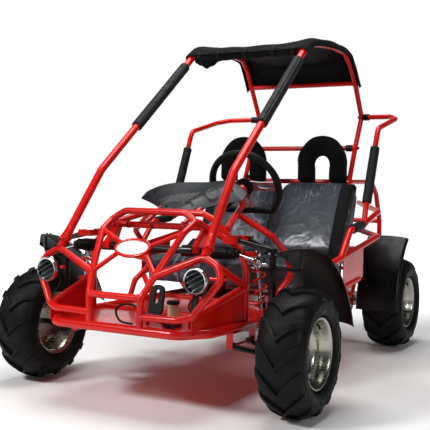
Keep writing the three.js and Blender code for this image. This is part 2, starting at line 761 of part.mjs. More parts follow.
// Headrests: upright arches that stand on the top of the back.
const headrestX = 186;
const headrestHalf = 112;
const headrestHeight = 227;
const headrestThickness = 52;
const headrestHoleHalf = 40;
const headrestHoleTop = 136;
const headrestDip = 36;
const headrestForward = 10;
const headrestBevel = 12;
function headrest() {
  const half = headrestHalf - headrestBevel;
  const top = headrestHeight - headrestBevel;
  const hole = headrestHoleHalf + headrestBevel;
  const shape = new THREE.Shape();
  shape.moveTo(-half, headrestBevel);
  shape.quadraticCurveTo(-half, top * 0.75, -half * 0.84, top * 0.86);
  shape.quadraticCurveTo(-half * 0.66, top, 0, top);
  shape.quadraticCurveTo(half * 0.66, top, half * 0.84, top * 0.86);
  shape.quadraticCurveTo(half, top * 0.75, half, headrestBevel);
  shape.lineTo(hole, headrestBevel);
  shape.lineTo(hole, headrestHoleTop - hole);
  shape.absarc(0, headrestHoleTop - hole, hole, 0, Math.PI, false);
  shape.lineTo(-hole, headrestBevel);
  shape.closePath();
  const geometry = new THREE.ExtrudeGeometry(shape, {
    depth: headrestThickness - 2 * headrestBevel,
    bevelThickness: headrestBevel,
    bevelSize: headrestBevel,
    bevelSegments: 1,
    curveSegments: 3,
  });
  geometry.translate(0, 0, headrestBevel);
  geometry.rotateX(Math.PI / 2);
  const topFront = V(0, seatBackHeight, 0).applyMatrix4(backFrame);
  const foot = topFront.z - headrestDip;
  geometry.translate(headrestX, topFront.y - headrestForward + headrestThickness, foot);
  const under = box(
    2 * headrestHalf + 2 * overrun,
    headrestHeight,
    4 * headrestThickness,
    V(headrestX, seatBackHeight + jointGap - headrestHeight / 2, 0),
  );
  const backBelow = solid(geometryOf(under).applyMatrix4(backFrame));
  return cut(solid(geometry), [backBelow]);
}

// Rear frame: posts, engine cage, tail bars, seat stays, swing arm brackets and shock fork.
const stayX = 170;
const swingInset = 100;
const swingX = frameHalf - swingInset;
const swingReach = 301;
const swingPivotY = rearAxleY - swingReach;
const swingPivotZ = 262;
const swingRadius = 15;
const swingBushHalf = 20;
const swingPinRadius = 8;
const monoLowLead = 225;
const monoLowY = rearAxleY - monoLowLead;
const monoLowZ = 292;
const monoHighLead = 247;
const monoHighY = rearAxleY - monoHighLead;
const monoHighZ = 690;
function rearFrame() {
  const stayOut = seatBackThickness + hoopRadius - 1 + jointGap;
  const stayFoot = V(stayX, hoopRadius, -stayOut).applyMatrix4(backFrame);
  const stayHead = V(stayX, seatBackHeight * 0.7, -stayOut).applyMatrix4(backFrame);
  const seatBar = at("postLow");
  const topBar = at("hoopFoot");
  const headTie = V(stayX, topBar.y, topBar.z);
  const footTie = V(stayX, seatBar.y, seatBar.z);
  const stay = sweep([footTie, stayFoot, stayHead, headTie], circle(hoopRadius - 1, 6));
  const low = at("postLow");
  const swing = V(swingX, swingPivotY, swingPivotZ);
  const swingFork = uPlate(swing, openDownAcross, {
    mouth: swingRadius,
    web: low.z - swingPivotZ - hoopRadius,
    half: swingBushHalf + bracketGap,
    wall: earThickness,
    width: 2 * swingRadius,
    pin: swingPinRadius,
  });
  const swingTop = low.z - hoopRadius / 2;
  const swingTie = box(
    2 * (swingBushHalf + bracketGap),
    low.y - swingPivotY + swingRadius,
    hoopRadius,
    V(swingX, (low.y + swingPivotY - swingRadius) / 2, swingTop),
  );
  const monoTop = V(0, monoHighY, monoHighZ);
  const monoFork = uPlate(monoTop, openDownAcross, shockFork(topBar.z - monoHighZ - hoopRadius));
  const all = join([weldment(rearTubes), withMirror(join([stay, swingFork, swingTie])), monoFork]);
  return cut(all, [relief(floorTubes)]);
}

// Side frames: side rail loop, its panel, arm rest tube and the tall side bar that clamps to the hoop.
const panelOut = 3;
function sideFrame() {
  const tubes = weldment(sideTubes);
  const [a, b] = [at("flankLowFront"), at("flankLowRear")];
  const above = (p) => {
    const share = (p.y - at("flankMid").y) / (at("flankRear").y - at("flankMid").y);
    return at("flankMid").lerp(at("flankRear"), share);
  };
  const corners = [a, b, above(b), above(a)].map((p) => p.clone().add(V(panelOut, 0, 0)));
  const panel = sheet(corners, sheetThickness);
  const all = join([tubes, panel]);
  return cut(all, [relief(floorTubes), relief(rearTubes), relief(hoopTubes), relief(noseTubes)]);
}

// Foam sleeves on the pillars and the side bars
const foamRadius = 21;
const sideFoamRadius = 19;
const foamBoreGap = 0.4;
const pillarFoamShares = [0.34, 0.89];
const sideFoamShares = [0.12, 0.88];
function sleeve(a, b, shares, inner, outer) {
  const [from, to] = shares.map((share) => a.clone().lerp(b, share));
  const bore = [toward(from, to, -overrun), toward(to, from, -overrun)];
  return cut(bar(from, to, outer, 8), [bar(...bore, inner, sidesOf(inner))]);
}

// Canopy: a sheet over the roof rails, turned down at the sides, with a flap at the rear.
const clothThickness = 3;
const clothClear = 1.5;
const canopyTurnDown = 30;
const canopySag = 38;
const canopyFoldHeight = 5;
const flapDrop = 18;
const canopyAcrossShares = [0, 0.3, 0.58, 0.8, 0.9, 1, 1];
const canopySagShares = [0, 0.3, 0.9, 1, 0.75, 0, 0];
function canopy() {
  const spine = ["canopyFront", "roofFront", "roofMid", "roofRear", "roofDrop", "hoopHigh"].map(at);
  const forward = spine[1].clone().sub(spine[0]).setLength(-pillarRadius * 1.2);
  const lift = pillarRadius + clothClear;
  const tail = toward(spine[5], at("hoopBow"), flapDrop);
  const route = [spine[0].clone().add(forward), ...spine.slice(1), tail];
  const rows = route.length - 1;
  const half = canopyAcrossShares.length - 1;
  const upAt = (i) => {
    const before = route[Math.max(0, i - 1)];
    const after = route[Math.min(rows, i + 1)];
    const along = after.clone().sub(before).setX(0).normalize();
    return V(0, -along.z, along.y);
  };
  const surface = (grow) => (u, v) => {
    const row = Math.round(v * rows);
    const column = Math.round((2 * u - 1) * half);
    const side = Math.sign(column);
    const out = canopyAcrossShares[Math.abs(column)];
    const hem = Math.abs(column) === half ? 1 : 0;
    const loose = canopySagShares[row] * (1 - Math.min(1, out / 0.9) ** 4);
    const fold = canopyFoldHeight * loose * Math.cos(9 * side * out + 5 * v);
    const drop = canopySag * loose + fold + hem * canopyTurnDown;
    const q = route[row].clone().addScaledVector(upAt(row), lift - drop + grow);
    return q.setX(side * (out * (q.x + lift) + hem * (2 * clothThickness + grow)));
  };
  return shell(2 * half, rows, surface(clothThickness), surface(0));
}

// Dash cowl: a moulded shell over the column, with a raised instrument pod.
const cowlFrontY = frontAxleY + 2;
const cowlDepth = 275;
const cowlFrontHalf = 46;
const cowlRearHalf = 206;
const cowlFrontZ = 634;
const cowlRearZ = 722;
const cowlSkirt = 58;
const cowlWall = 4;
const podHeight = 14;
function cowlSurface(grow) {
  return (u, v) => {
    const side = 2 * u - 1;
    const open = Math.min(1, v / 0.8) ** 2.2;
    const half = cowlFrontHalf + (cowlRearHalf - cowlFrontHalf) * open;
    const rise = (cowlRearZ - cowlFrontZ) * Math.min(1, v / 0.95) ** 2;
    const lip = v > 0.93 ? ((v - 0.93) / 0.07) ** 2 * cowlSkirt * 0.35 : 0;
    const front = v < 0.1 ? ((0.1 - v) / 0.1) ** 2 * cowlSkirt * 0.12 : 0;
    const drop = cowlSkirt * Math.abs(side) ** 3.5 * (0.35 + 0.3 * open);
    const pod = podHeight * Math.exp(-(((side - 0.6) / 0.3) ** 2)) * Math.sin(v * Math.PI * 0.62) ** 2;
    const y = cowlFrontY + cowlDepth * v - cowlDepth * 0.16 * side * side * open;
    const x = side * (half + grow * side * side);
    return V(x, y, cowlFrontZ + rise - lip - front - drop + pod + grow);
  };
}
function dashCowl() {
  const body = shell(10, 6, cowlSurface(0), cowlSurface(-cowlWall));
  return cut(body, [relief(cowlStays)]);
}

// Headlamps: round housings with a raised bezel and a lens set back in it.
const bezelWidth = 8;
const lensInset = 5;
function headlamp() {
  const back = lampRadius * 0.55;
  const made = turned(
    [
      [0, 0],
      [back, 0],
      [lampRadius * 0.9, -lampDepth * 0.35],
      [lampRadius, -lampDepth * 0.8],
      [lampRadius - bezelWidth * 0.4, -lampDepth],
      [lampRadius - bezelWidth, -lampDepth + lensInset],
      [0, -lampDepth + lensInset * 0.6],
    ],
    "y",
    12,
  );
  return made;
}

// Arms
function arm(pivotZ, bushHalf, legRadius) {
  const ballZ = pivotZ - armDrop;
  const outer = V(kingpinX, frontAxleY, ballZ);
  const cup = bar(V(kingpinX, frontAxleY, ballZ - cupHalf), V(kingpinX, frontAxleY, ballZ + cupHalf), cupRadius, 8);
  const legs = [-1, 1].map((end) =>
    bar(outer, V(armInnerX, frontAxleY + end * (bushHalf + legOffset), pivotZ), legRadius),
  );
  const bush = (end, radius, length) =>
    bar(
      V(armInnerX, frontAxleY + end * bushHalf - length / 2, pivotZ),
      V(armInnerX, frontAxleY + end * bushHalf + length / 2, pivotZ),
      radius,
      8,
    );
  const solidArm = join([cup, ...legs, bush(-1, bushRadius, bushLength), bush(1, bushRadius, bushLength)]);
  const bore = bar(
    V(kingpinX, frontAxleY, ballZ - cupHalf - overrun),
    V(kingpinX, frontAxleY, ballZ + cupHalf + overrun),
    cupBore / Math.cos(Math.PI / 8),
    8,
  );
  return { solidArm, bores: [bore, ...[-1, 1].map((end) => bush(end, pinBore, bushLength + 2 * overrun))] };
}

function upperArm() {
  const { solidArm, bores } = arm(upperPivotZ, upperBushHalf, upperArmRadius);
  return cut(solidArm, bores);
}

function lowerArm() {
  const { solidArm, bores } = arm(lowerPivotZ, lowerBushHalf, lowerArmRadius);
  const centre = V(shockLowX, shockY, shockLowZ);
  const lowFork = uPlate(centre, openUp, shockFork(eyeRadius + earGap));
  const legEnd = V(armInnerX, frontAxleY + lowerBushHalf, lowerPivotZ);
  const leg = V(kingpinX, frontAxleY, lowerBallZ).lerp(legEnd, 0.4);
  const eyeEnd = V(0, eyeWidth / 2 + earGap, 0);
  const eyeRoom = bar(centre.clone().sub(eyeEnd), centre.clone().add(eyeEnd), eyeRadius + 2 * earGap, 8);
  const tie = box(
    earWidth,
    2 * eyeWidth,
    lowerArmRadius,
    V(shockLowX, leg.y - eyeWidth / 2, shockLowZ - eyeRadius - earGap - lowerArmRadius / 2),
  );
  return cut(join([cut(solidArm, [eyeRoom]), lowFork, tie]), bores);
}

// Lower ball joint: a ball in the arm's cup with its stud up into the knuckle.
const studRadius = 5;
const studReach = 30;
function ballJoint() {
  const ball = new THREE.SphereGeometry(ballRadius, 8, 5);
  ball.rotateX(Math.PI / 2);
  ball.translate(kingpinX, frontAxleY, lowerBallZ);
  const stud = bar(
    V(kingpinX, frontAxleY, lowerBallZ),
    V(kingpinX, frontAxleY, lowerBallZ + studReach),
    studRadius,
  );
  return join([solid(ball), stud]);
}

// Knuckle: tall post with spindle, steering arm, fender bracket and the upper ball.
const bossRadius = 16;
const bossHeight = 50;
const spindleRadius = 10;
const collarOnSpindle = 13;
const hubInner = 36;
const hubCapEnd = 18;
const steerPlateDrop = 33;
const steerPlateThickness = 8;
const tieStudRadius = 3.5;
const tieStudRise = 22;
const tieBallZ = rackZ - armDrop;
const fenderFrontWidth = 155;
const fenderFrontX = frontTrackHalf + 2;
const fenderFrontRadius = 262;
const fenderCrown = 24;
const fenderWall = 4;
const fenderArmRadius = 6;
const fenderSeatGap = 2.9;
function knuckle() {
  const centre = (z) => V(kingpinX, frontAxleY, z);
  const bossZ = lowerBallZ + postClear;
  const post = bar(centre(bossZ), centre(upperBallZ - postClear), postRadius);
  const neck = bar(centre(upperBallZ - postClear - overrun), centre(upperBallZ), neckRadius);
  const ball = new THREE.SphereGeometry(ballRadius, 8, 5);
  ball.rotateX(Math.PI / 2);
  ball.translate(kingpinX, frontAxleY, upperBallZ);
  const boss = bar(centre(bossZ), centre(bossZ + bossHeight), bossRadius);
  const socket = bar(centre(bossZ - overrun), centre(lowerBallZ + studReach + 1), studRadius + 1.2);
  const hubX = frontTrackHalf - hubInner - jointGap;
  const spindle = bar(
    V(kingpinX, frontAxleY, axleZ),
    V(frontTrackHalf + hubCapEnd - jointGap - 1, frontAxleY, axleZ),
    spindleRadius,
  );
  const collarX = kingpinX + cupRadius + ballRadius / 2;
  const spindleCollar = bar(V(collarX, frontAxleY, axleZ), V(hubX, frontAxleY, axleZ), collarOnSpindle);
  const plateZ = upperBallZ - steerPlateDrop;
  const steerEnd = V(kingpinX, frontAxleY - steerArmLength, tieBallZ);
  const plateTop = tieBallZ - 11;
  const steerPlate = box(
    2 * postRadius,
    steerArmLength + postRadius,
    steerPlateThickness,
    V(kingpinX, frontAxleY - (steerArmLength - postRadius) / 2, plateTop - steerPlateThickness / 2),
  );
  const stud = bar(
    V(steerEnd.x, steerEnd.y, plateTop - steerPlateThickness),
    V(steerEnd.x, steerEnd.y, tieBallZ + tieStudRise),
    tieStudRadius,
  );
  const fenderZ = axleZ + (fenderFrontRadius + fenderCrown) * frontFenderReachShares[0] - fenderSeatGap;
  const bracket = bent(
    [
      centre(plateZ - bossRadius * 1.4),
      V(fenderFrontX, frontAxleY, plateZ - bossRadius * 1.4),
      V(fenderFrontX, frontAxleY, fenderZ),
    ],
    fenderArmRadius,
  );
  const all = join([post, neck, solid(ball), boss, spindle, spindleCollar, steerPlate, stud, bracket]);
  return cut(all, [socket]);
}

// Fenders: arched sheets with a crowned section.
function fenderSurface(centreX, width, profile, crown, grow) {
  const curve = new THREE.CatmullRomCurve3(profile.map(([y, z]) => V(0, y, z)));
  return (u, v) => {
    const p = curve.getPoint(v);
    const along = curve.getTangent(v);
    const out = V(0, -along.z, along.y);
    const side = 2 * u - 1;
    const bulge = crown * (1 - Math.abs(side) ** 2.5) - crown;
    return p.addScaledVector(out, bulge + grow).setX(centreX + (side * width) / 2);
  };
}
const frontFenderDegrees = [95, 84, 68, 52, 36, 22, 11];
const frontFenderReachShares = [1.09, 1.09, 1.035, 1.0, 0.995, 1.015, 1.04];
const fenderSlantShare = 0.25;
function frontFender() {
  const reach = fenderFrontRadius + fenderCrown;
  const profile = frontFenderDegrees.map((degrees, i) => {
    const angle = THREE.MathUtils.degToRad(degrees);
    const radius = reach * frontFenderReachShares[i];
    return [frontAxleY + radius * Math.cos(angle), axleZ + radius * Math.sin(angle)];
  });
  const outer = fenderSurface(fenderFrontX, fenderFrontWidth, profile, fenderCrown, fenderWall);
  const inner = fenderSurface(fenderFrontX, fenderFrontWidth, profile, fenderCrown, 0);
  const slanted = (surface) => (u, v) => {
    const start = fenderSlantShare * u * u;
    return surface(u, start + (1 - start) * v);
  };
  return shell(4, 6, slanted(outer), slanted(inner));
}
const rearFenderWidth = 186;
const rearFenderX = rearTrackHalf;
const rearFenderReach = 300;
const rearFenderDegrees = [106, 120, 137, 155, 170, 184];
const rearFenderReachShares = [1.04, 0.95, 0.86, 0.8, 0.79, 0.8];
const rearFenderTab = 34;
const rearTabShare = 0.2;
function rearFender() {
  const profile = rearFenderDegrees.map((degrees, i) => {
    const angle = THREE.MathUtils.degToRad(degrees);
    const radius = rearFenderReach * rearFenderReachShares[i];
    return [rearAxleY + radius * Math.cos(angle), axleZ + radius * Math.sin(angle)];
  });
  profile.reverse();
  const crown = fenderCrown * 0.5;
  const outer = fenderSurface(rearFenderX, rearFenderWidth, profile, crown, fenderWall);
  const inner = fenderSurface(rearFenderX, rearFenderWidth, profile, crown, 0);
  const skin = shell(4, 5, outer, inner);
  const [[lowY, lowZ], [highY, highZ]] = profile.slice(2, 4);
  const tabY = lowY + (highY - lowY) * rearTabShare;
  const tabZ = lowZ + (highZ - lowZ) * rearTabShare;
  const railX = at("hoopFoot").x;
  const skinX = rearFenderX - rearFenderWidth / 2 + rearFenderTab;
  const tab = box(skinX - railX, rearFenderTab, fenderWall, V((skinX + railX) / 2, tabY, tabZ));
  return cut(join([skin, tab]), [relief(rearTubes)]);
}

// Tie rods and rack
const tieEyeRadius = 14.5;
const tieEyeBore = 9.6;
const tieEyeHalf = 5;
const hexRadius = 8;
function tieRod() {
  const inner = V(armInnerX, rackY, rackZ);
  const outer = V(kingpinX, rackY, tieBallZ);
  const ball = new THREE.SphereGeometry(tieBallRadius, 8, 5);
  ball.translate(inner.x, inner.y, inner.z);
  const rod = bar(inner, outer, tieRodRadius);
  const nut = bar(inner.clone().lerp(outer, 0.66), inner.clone().lerp(outer, 0.86), hexRadius, 6);
  const eye = bar(outer.clone().add(V(0, 0, -tieEyeHalf)), outer.clone().add(V(0, 0, tieEyeHalf)), tieEyeRadius, 8);
  const bore = bar(
    outer.clone().add(V(0, 0, -tieEyeHalf - overrun)),
    outer.clone().add(V(0, 0, tieEyeHalf + overrun)),
    tieEyeBore,
    8,
  );
  return cut(join([solid(ball), rod, nut, eye]), [bore]);
}

const pinionBoxRadius = 20;
const pinionBoxLength = 52;
const shaftEnd = 30;
function rackHousing() {
  const line = (from, to, radius) => bar(V(from, rackY, rackZ), V(to, rackY, rackZ), radius, 8);
  const thin = line(-rackHousingHalf, rackHousingHalf, rackHousingRadius);
  const ends = [-1, 1].map((side) =>
    line(side * (rackHousingHalf - rackEndLength), side * rackHousingHalf, rackEndRadius),
  );
  const boxMiddle = line(columnX - pinionBoxRadius, columnX + pinionBoxRadius, pinionBoxRadius);
  const neckEnd = pinion.clone().addScaledVector(columnDirection, pinionBoxLength);
  const neck = bar(pinion, neckEnd, pinionBoxRadius * 0.85, 8);
  const shaftBore = bar(
    pinion.clone().addScaledVector(columnDirection, shaftEnd - jointGap * 2),
    neckEnd.clone().addScaledVector(columnDirection, overrun),
    shaftRadius + runningGap * 2,
    8,
  );
  const bore = line(-rackHousingHalf - overrun, rackHousingHalf + overrun, rackRadius + runningGap);
  return cut(join([thin, ...ends, boxMiddle, neck]), [bore, shaftBore]);
}

function rackBar() {
  const end = armInnerX - tieBallRadius - jointGap * 2;
  return bar(V(-end, rackY, rackZ), V(end, rackY, rackZ), rackRadius, 8);
}

// Bellows: a ribbed boot with a bore, whose ribs come from a formula.
const bootRibs = 5;
const bootInner = 222;
const bootOuter = 318;
const bootWall = 1.6;
const bootRootRadius = 16.6;
const bootRibRadius = 20;
const bootSides = 8;
const bootNeck = 10.8;
function rackBoot() {
  const pitch = (bootOuter - bootInner) / (bootRibs + 2);
  const outside = [[bootRootRadius + bootWall, bootInner]];
  for (let i = 0; i < bootRibs; i++) {
    outside.push([bootRootRadius + bootWall, bootInner + (i + 1) * pitch]);
    outside.push([bootRibRadius + bootWall, bootInner + (i + 1.5) * pitch]);
  }
  outside.push([bootNeck + bootWall, bootOuter - pitch]);
  outside.push([bootNeck + bootWall, bootOuter]);
  const inside = [
    [bootNeck, bootOuter],
    [bootNeck, bootOuter - pitch],
    [bootRootRadius, bootOuter - pitch * 2],
    [bootRootRadius, bootInner],
  ];
  const made = geometryOf(turned([...outside, ...inside], "x", bootSides));
  made.rotateX(Math.PI / bootSides);
  made.translate(0, rackY, rackZ);
  return solid(made);
}

// Steering wheel: flat-bottomed rim, slotted spokes, hub and shaft in one turning piece.
const wheelRadius = 143;
const wheelGrip = 25;
const wheelFlatShare = 0.78;
const gripBevel = 8;
const spokePlate = 5;
const hubRadius = 34;
function wheelOutline(radius) {
  const flat = wheelFlatShare * wheelRadius - (wheelRadius - radius);
  const start = Math.asin(-flat / radius);
  const shape = new THREE.Path();
  const steps = 15;
  for (let i = 0; i <= steps; i++) {
    const angle = start + ((Math.PI - 2 * start) * i) / steps;
    const [x, y] = [radius * Math.cos(angle), radius * Math.sin(angle)];
    if (i === 0) shape.moveTo(x, y);
    else shape.lineTo(x, y);
  }
  shape.closePath();
  return shape;
}
function steeringWheel() {
  const ring = new THREE.Shape(wheelOutline(wheelRadius - gripBevel).getPoints());
  ring.holes.push(wheelOutline(wheelRadius - wheelGrip + gripBevel));
  const rim = new THREE.ExtrudeGeometry(ring, {
    depth: wheelGrip - 2 * gripBevel,
    bevelThickness: gripBevel,
    bevelSize: gripBevel,
    bevelSegments: 1,
  });
  rim.translate(0, 0, -wheelGrip / 2 + gripBevel);
  const reach = wheelRadius - wheelGrip / 2;
  const spoke = (degrees) => {
    const shape = new THREE.Shape();
    shape.moveTo(0, -hubRadius * 0.75);
    shape.lineTo(reach, -hubRadius * 0.5);
    shape.lineTo(reach, hubRadius * 0.5);
    shape.lineTo(0, hubRadius * 0.75);
    const slot = new THREE.Path();
    slot.absellipse(reach * 0.62, 0, reach * 0.16, hubRadius * 0.24, 0, 2 * Math.PI, true);
    shape.holes.push(slot);
    const plate = new THREE.ExtrudeGeometry(shape, { depth: spokePlate, bevelEnabled: false, curveSegments: 4 });
    plate.translate(0, 0, -spokePlate / 2);
    plate.rotateZ(THREE.MathUtils.degToRad(degrees));
    return solid(plate);
  };
  const hub = new THREE.CylinderGeometry(hubRadius * 0.8, hubRadius, spokePlate * 3, 10);
  hub.rotateX(Math.PI / 2);
  const flatWheel = join([solid(rim), spoke(0), spoke(180), spoke(270), solid(hub)]);
  const tilt = new THREE.Quaternion().setFromUnitVectors(V(0, 0, 1), columnDirection);
  const halfTurn = new THREE.Quaternion().setFromAxisAngle(V(0, 0, 1), Math.PI);
  const upright = new THREE.Matrix4().compose(wheelCentre, tilt.multiply(halfTurn), V(1, 1, 1));
  const placed = solid(geometryOf(flatWheel).applyMatrix4(upright));
  const shaft = bar(pinion.clone().addScaledVector(columnDirection, shaftEnd), wheelCentre, shaftRadius, 6);
  return join([placed, shaft]);
}

// Coil spring: one unbroken tube wound on a helix, with straight ends.
const wireRadius = 3.1;
const curlSteps = 8;
const wireSides = 5;
function coil(radius, from, tightCurls, tightPitch, openCurls, openPitch) {
  const curls = tightCurls + openCurls;
  const stations = [];
  const heightAt = (turn) =>
    from + Math.min(turn, tightCurls) * tightPitch + Math.max(0, turn - tightCurls) * openPitch;
  for (let i = 0; i <= curls * curlSteps; i++) {
    const turn = i / curlSteps;
    const angle = turn * 2 * Math.PI;
    stations.push(V(radius * Math.cos(angle), radius * Math.sin(angle), heightAt(turn)));
  }
  const first = V(radius, -2 * wireRadius, from);
  const lastAngle = curls * 2 * Math.PI;
  const last = V(
    radius * Math.cos(lastAngle) - 2 * wireRadius * Math.sin(lastAngle),
    radius * Math.sin(lastAngle) + 2 * wireRadius * Math.cos(lastAngle),
    heightAt(curls),
  );
  return { stations: [first, ...stations, last], top: heightAt(curls) };
}

// The least gap of a coil to itself, measured between points a turn apart or more.
function leastGap(stations) {
  let least = Infinity;
  for (let i = 0; i < stations.length; i++)
    for (let j = i + Math.ceil(curlSteps / 2); j < stations.length; j++)
      least = Math.min(least, stations[i].distanceTo(stations[j]) - 2 * wireRadius);
  return least;
}

// Shock absorber along its own Z axis, from the lower eye at the origin to the upper eye.
function shockPieces(length, sizes) {
  const { coilRadius, bodyRadius, rodRadius, tightCurls, tightPitch, openCurls, openPitch, seatLow } = sizes;
  const seatThickness = 6;
  const eye = (z) => bar(V(0, -eyeWidth / 2, z), V(0, eyeWidth / 2, z), eyeRadius, 8);
  const eyeHole = (z) => bar(V(0, -eyeWidth, z), V(0, eyeWidth, z), eyeBore, 8);
  const bodyTop = length * sizes.bodyShare;
  const bore = rodRadius + sizes.rodClear;
  const seatRadius = coilRadius + wireRadius * 1.4;
  const wound = coil(coilRadius, seatLow + seatThickness + wireRadius + jointGap, tightCurls, tightPitch, openCurls, openPitch);
  const seatHigh = wound.top + wireRadius + jointGap;
  const body = cut(
    join([
      eye(0),
      bar(V(0, 0, 0), V(0, 0, eyeRadius + eyeNeck), bodyRadius * 0.55, 6),
      bar(V(0, 0, eyeRadius + eyeNeck / 2), V(0, 0, bodyTop), bodyRadius, 8),
      bar(V(0, 0, seatLow), V(0, 0, seatLow + seatThickness), seatRadius, 10),
    ]),
    [eyeHole(0), bar(V(0, 0, seatLow), V(0, 0, bodyTop + overrun), bore, 8)],
  );
  const rodEnd = seatLow + (bodyTop - seatLow) * sizes.rodDipShare;
  const rod = cut(
    join([
      eye(length),
      bar(V(0, 0, rodEnd), V(0, 0, length), rodRadius, 6),
      bar(V(0, 0, seatHigh), V(0, 0, seatHigh + seatThickness), seatRadius, 10),
    ]),
    [eyeHole(length)],
  );
  return { body, rod, spring: sweep(wound.stations, circle(wireRadius, wireSides)), stations: wound.stations };
}
const frontShock = {
  coilRadius: 20.5,
  bodyRadius: 13,
  rodRadius: 5.5,
  rodClear: 3.2,
  tightCurls: 4,
  tightPitch: 21,
  openCurls: 3,
  openPitch: 43,
  seatLow: 17,
  bodyShare: 0.53,
  rodDipShare: 0.45,
};
const rearShock = {
  coilRadius: 25,
  bodyRadius: 16,
  rodRadius: 7,
  rodClear: 3.2,
  tightCurls: 3,
  tightPitch: 24,
  openCurls: 3,
  openPitch: 42,
  seatLow: 46,
  bodyShare: 0.55,
  rodDipShare: 0.4,
};

// Wheels
const rimFlange = 113;
const rimSeat = 101.8;
const rimDrop = 88;
const rimWall = 4;
const rimHalfFront = 65;
const rimHalfRear = 75;
const flangeWidth = 7;
const wheelSides = 12;
function rimProfile(half) {
  const seat = half - flangeWidth;
  const web = half * 0.1;
  const barrel = rimSeat - 2 * rimWall;
  const outside = [
    [barrel, seat - rimWall],
    [barrel, web],
    [rimDrop * 0.62, -web],
  ];
  const insideOf = [
    [rimDrop * 0.62, -web - rimWall],
    [barrel, web - rimWall],
    [barrel, -seat + rimWall],
    [rimFlange - rimWall, -half],
    [rimFlange, -seat],
    [rimSeat, -seat],
    [rimSeat, seat],
    [rimFlange, seat],
    [rimFlange - rimWall, half],
  ];
  return { outside, insideOf };
}

// Front rim with its hub: a bearing bore that takes the spindle and a closed cap outside.
const hubShell = 24;
function frontRim() {
  const { outside, insideOf } = rimProfile(rimHalfFront);
  const bore = spindleRadius + runningGap;
  const web = rimHalfFront * 0.1;
  const hubOut = [
    [hubShell, web - rimWall],
    [hubShell, hubCapEnd + rimWall * 2],
    [hubShell * 0.8, hubCapEnd + rimWall * 3],
    [0, hubCapEnd + rimWall * 3],
  ];
  const hubIn = [
    [0, hubCapEnd],
    [bore, hubCapEnd],
    [bore, -hubInner],
    [hubShell, -hubInner],
    [hubShell, -web - rimWall],
  ];
  const loop = [...hubIn, ...insideOf, ...outside, ...hubOut];
  return turned(loop, "x", wheelSides);
}

// Rear rim bolted against the hub flange of the axle.
const axleRadius = 15;
const rearHubRadius = 38;
const rearHubFace = 12;
function rearRim() {
  const { outside, insideOf } = rimProfile(rimHalfRear);
  const bore = axleRadius + jointGap * 2;
  const web = rimHalfRear * 0.1;
  const loop = [
    [bore, -web - rimWall],
    ...insideOf,
    ...outside,
    [bore, -web],
  ];
  return turned(loop, "x", wheelSides);
}

// Tyre: a hollow casing with chevron lugs that run from the crown over the shoulders.
// Each chevron takes one step round the casing: its lug lies between the first two edges of the step.
const treadDepth = 11;
const casingWall = 14;
const chevronCount = 10;
const chevronStep = (2 * Math.PI) / chevronCount;
const lugLead = -chevronStep * 0.55;
const lugShare = 0.46;
const flatLoss = Math.cos((chevronStep * (1 - lugShare)) / 2);
function tyre(width, rimHalf) {
  const half = width / 2;
  const crown = tyreRadius - treadDepth;
  const bead = (rimSeat + jointGap) / flatLoss;
  const rimTop = (rimFlange + jointGap) / flatLoss;
  const seat = rimHalf - flangeWidth - jointGap;
  const depth = crown - rimFlange;
  const shoulderRadius = crown - depth * 0.23;
  const side = [
    [bead, seat],
    [rimTop, seat],
    [rimFlange + depth * 0.42, half],
    [shoulderRadius, half * 0.84],
  ];
  const otherSideOf = (list) => [...list].reverse().map(([radius, along]) => [radius, -along]);
  const inside = [
    [bead, -(seat - casingWall)],
    [crown - casingWall, 0],
    [bead, seat - casingWall],
  ];
  const rows = [...side, [crown, 0], ...otherSideOf(side), ...inside];
  const shoulder = side.length - 1;
  const middle = side.length;
  const places = [];
  const faces = [];
  const point = (radius, along, angle) => places.push(along, radius * Math.cos(angle), radius * Math.sin(angle));
  const edges = 2 * chevronCount;
  rows.forEach(([radius, along], row) => {
    for (let i = 0; i < edges; i++) {
      const lead = row === middle ? 0 : lugLead;
      point(radius, along, Math.floor(i / 2) * chevronStep + (i % 2) * lugShare * chevronStep + lead);
    }
  });
  const index = (row, i) => (row % rows.length) * edges + (i % edges);
  const quad = (a, b, c, d) => faces.push(a, b, c, a, c, d);
  rows.forEach((_, row) => {
    for (let i = 0; i < edges; i++) {
      const underLug = i % 2 === 0 && (row === shoulder || row === middle);
      if (!underLug) quad(index(row, i), index(row, i + 1), index(row + 1, i + 1), index(row + 1, i));
    }
  });
  for (let i = 0; i < edges; i += 2) {
    const start = (i / 2) * chevronStep;
    const first = places.length / 3;
    for (const [radius, along, lead] of [
      [shoulderRadius + treadDepth * 1.1, half * 0.74, lugLead],
      [tyreRadius, 0, 0],
      [shoulderRadius + treadDepth * 1.1, -half * 0.74, lugLead],
    ]) {
      point(radius, along, start + lead + chevronStep * 0.03);
      point(radius, along, start + lead + chevronStep * (lugShare - 0.03));
    }
    for (const k of [0, 1]) {
      const row = shoulder + k;
      const top = first + 2 * k;
      quad(top, top + 1, top + 3, top + 2);
      quad(index(row, i), top, top + 2, index(row + 1, i));
      quad(top + 1, index(row, i + 1), index(row + 1, i + 1), top + 3);
    }
    quad(index(shoulder, i), index(shoulder, i + 1), first + 1, first);
    quad(first + 4, first + 5, index(shoulder + 2, i + 1), index(shoulder + 2, i));
  }
  const geometry = new THREE.BufferGeometry();
  geometry.setAttribute("position", new THREE.Float32BufferAttribute(places, 3));
  geometry.setIndex(faces);
  return solid(geometry);
}
const frontTyreWidth = 155;
const rearTyreWidth = 178;

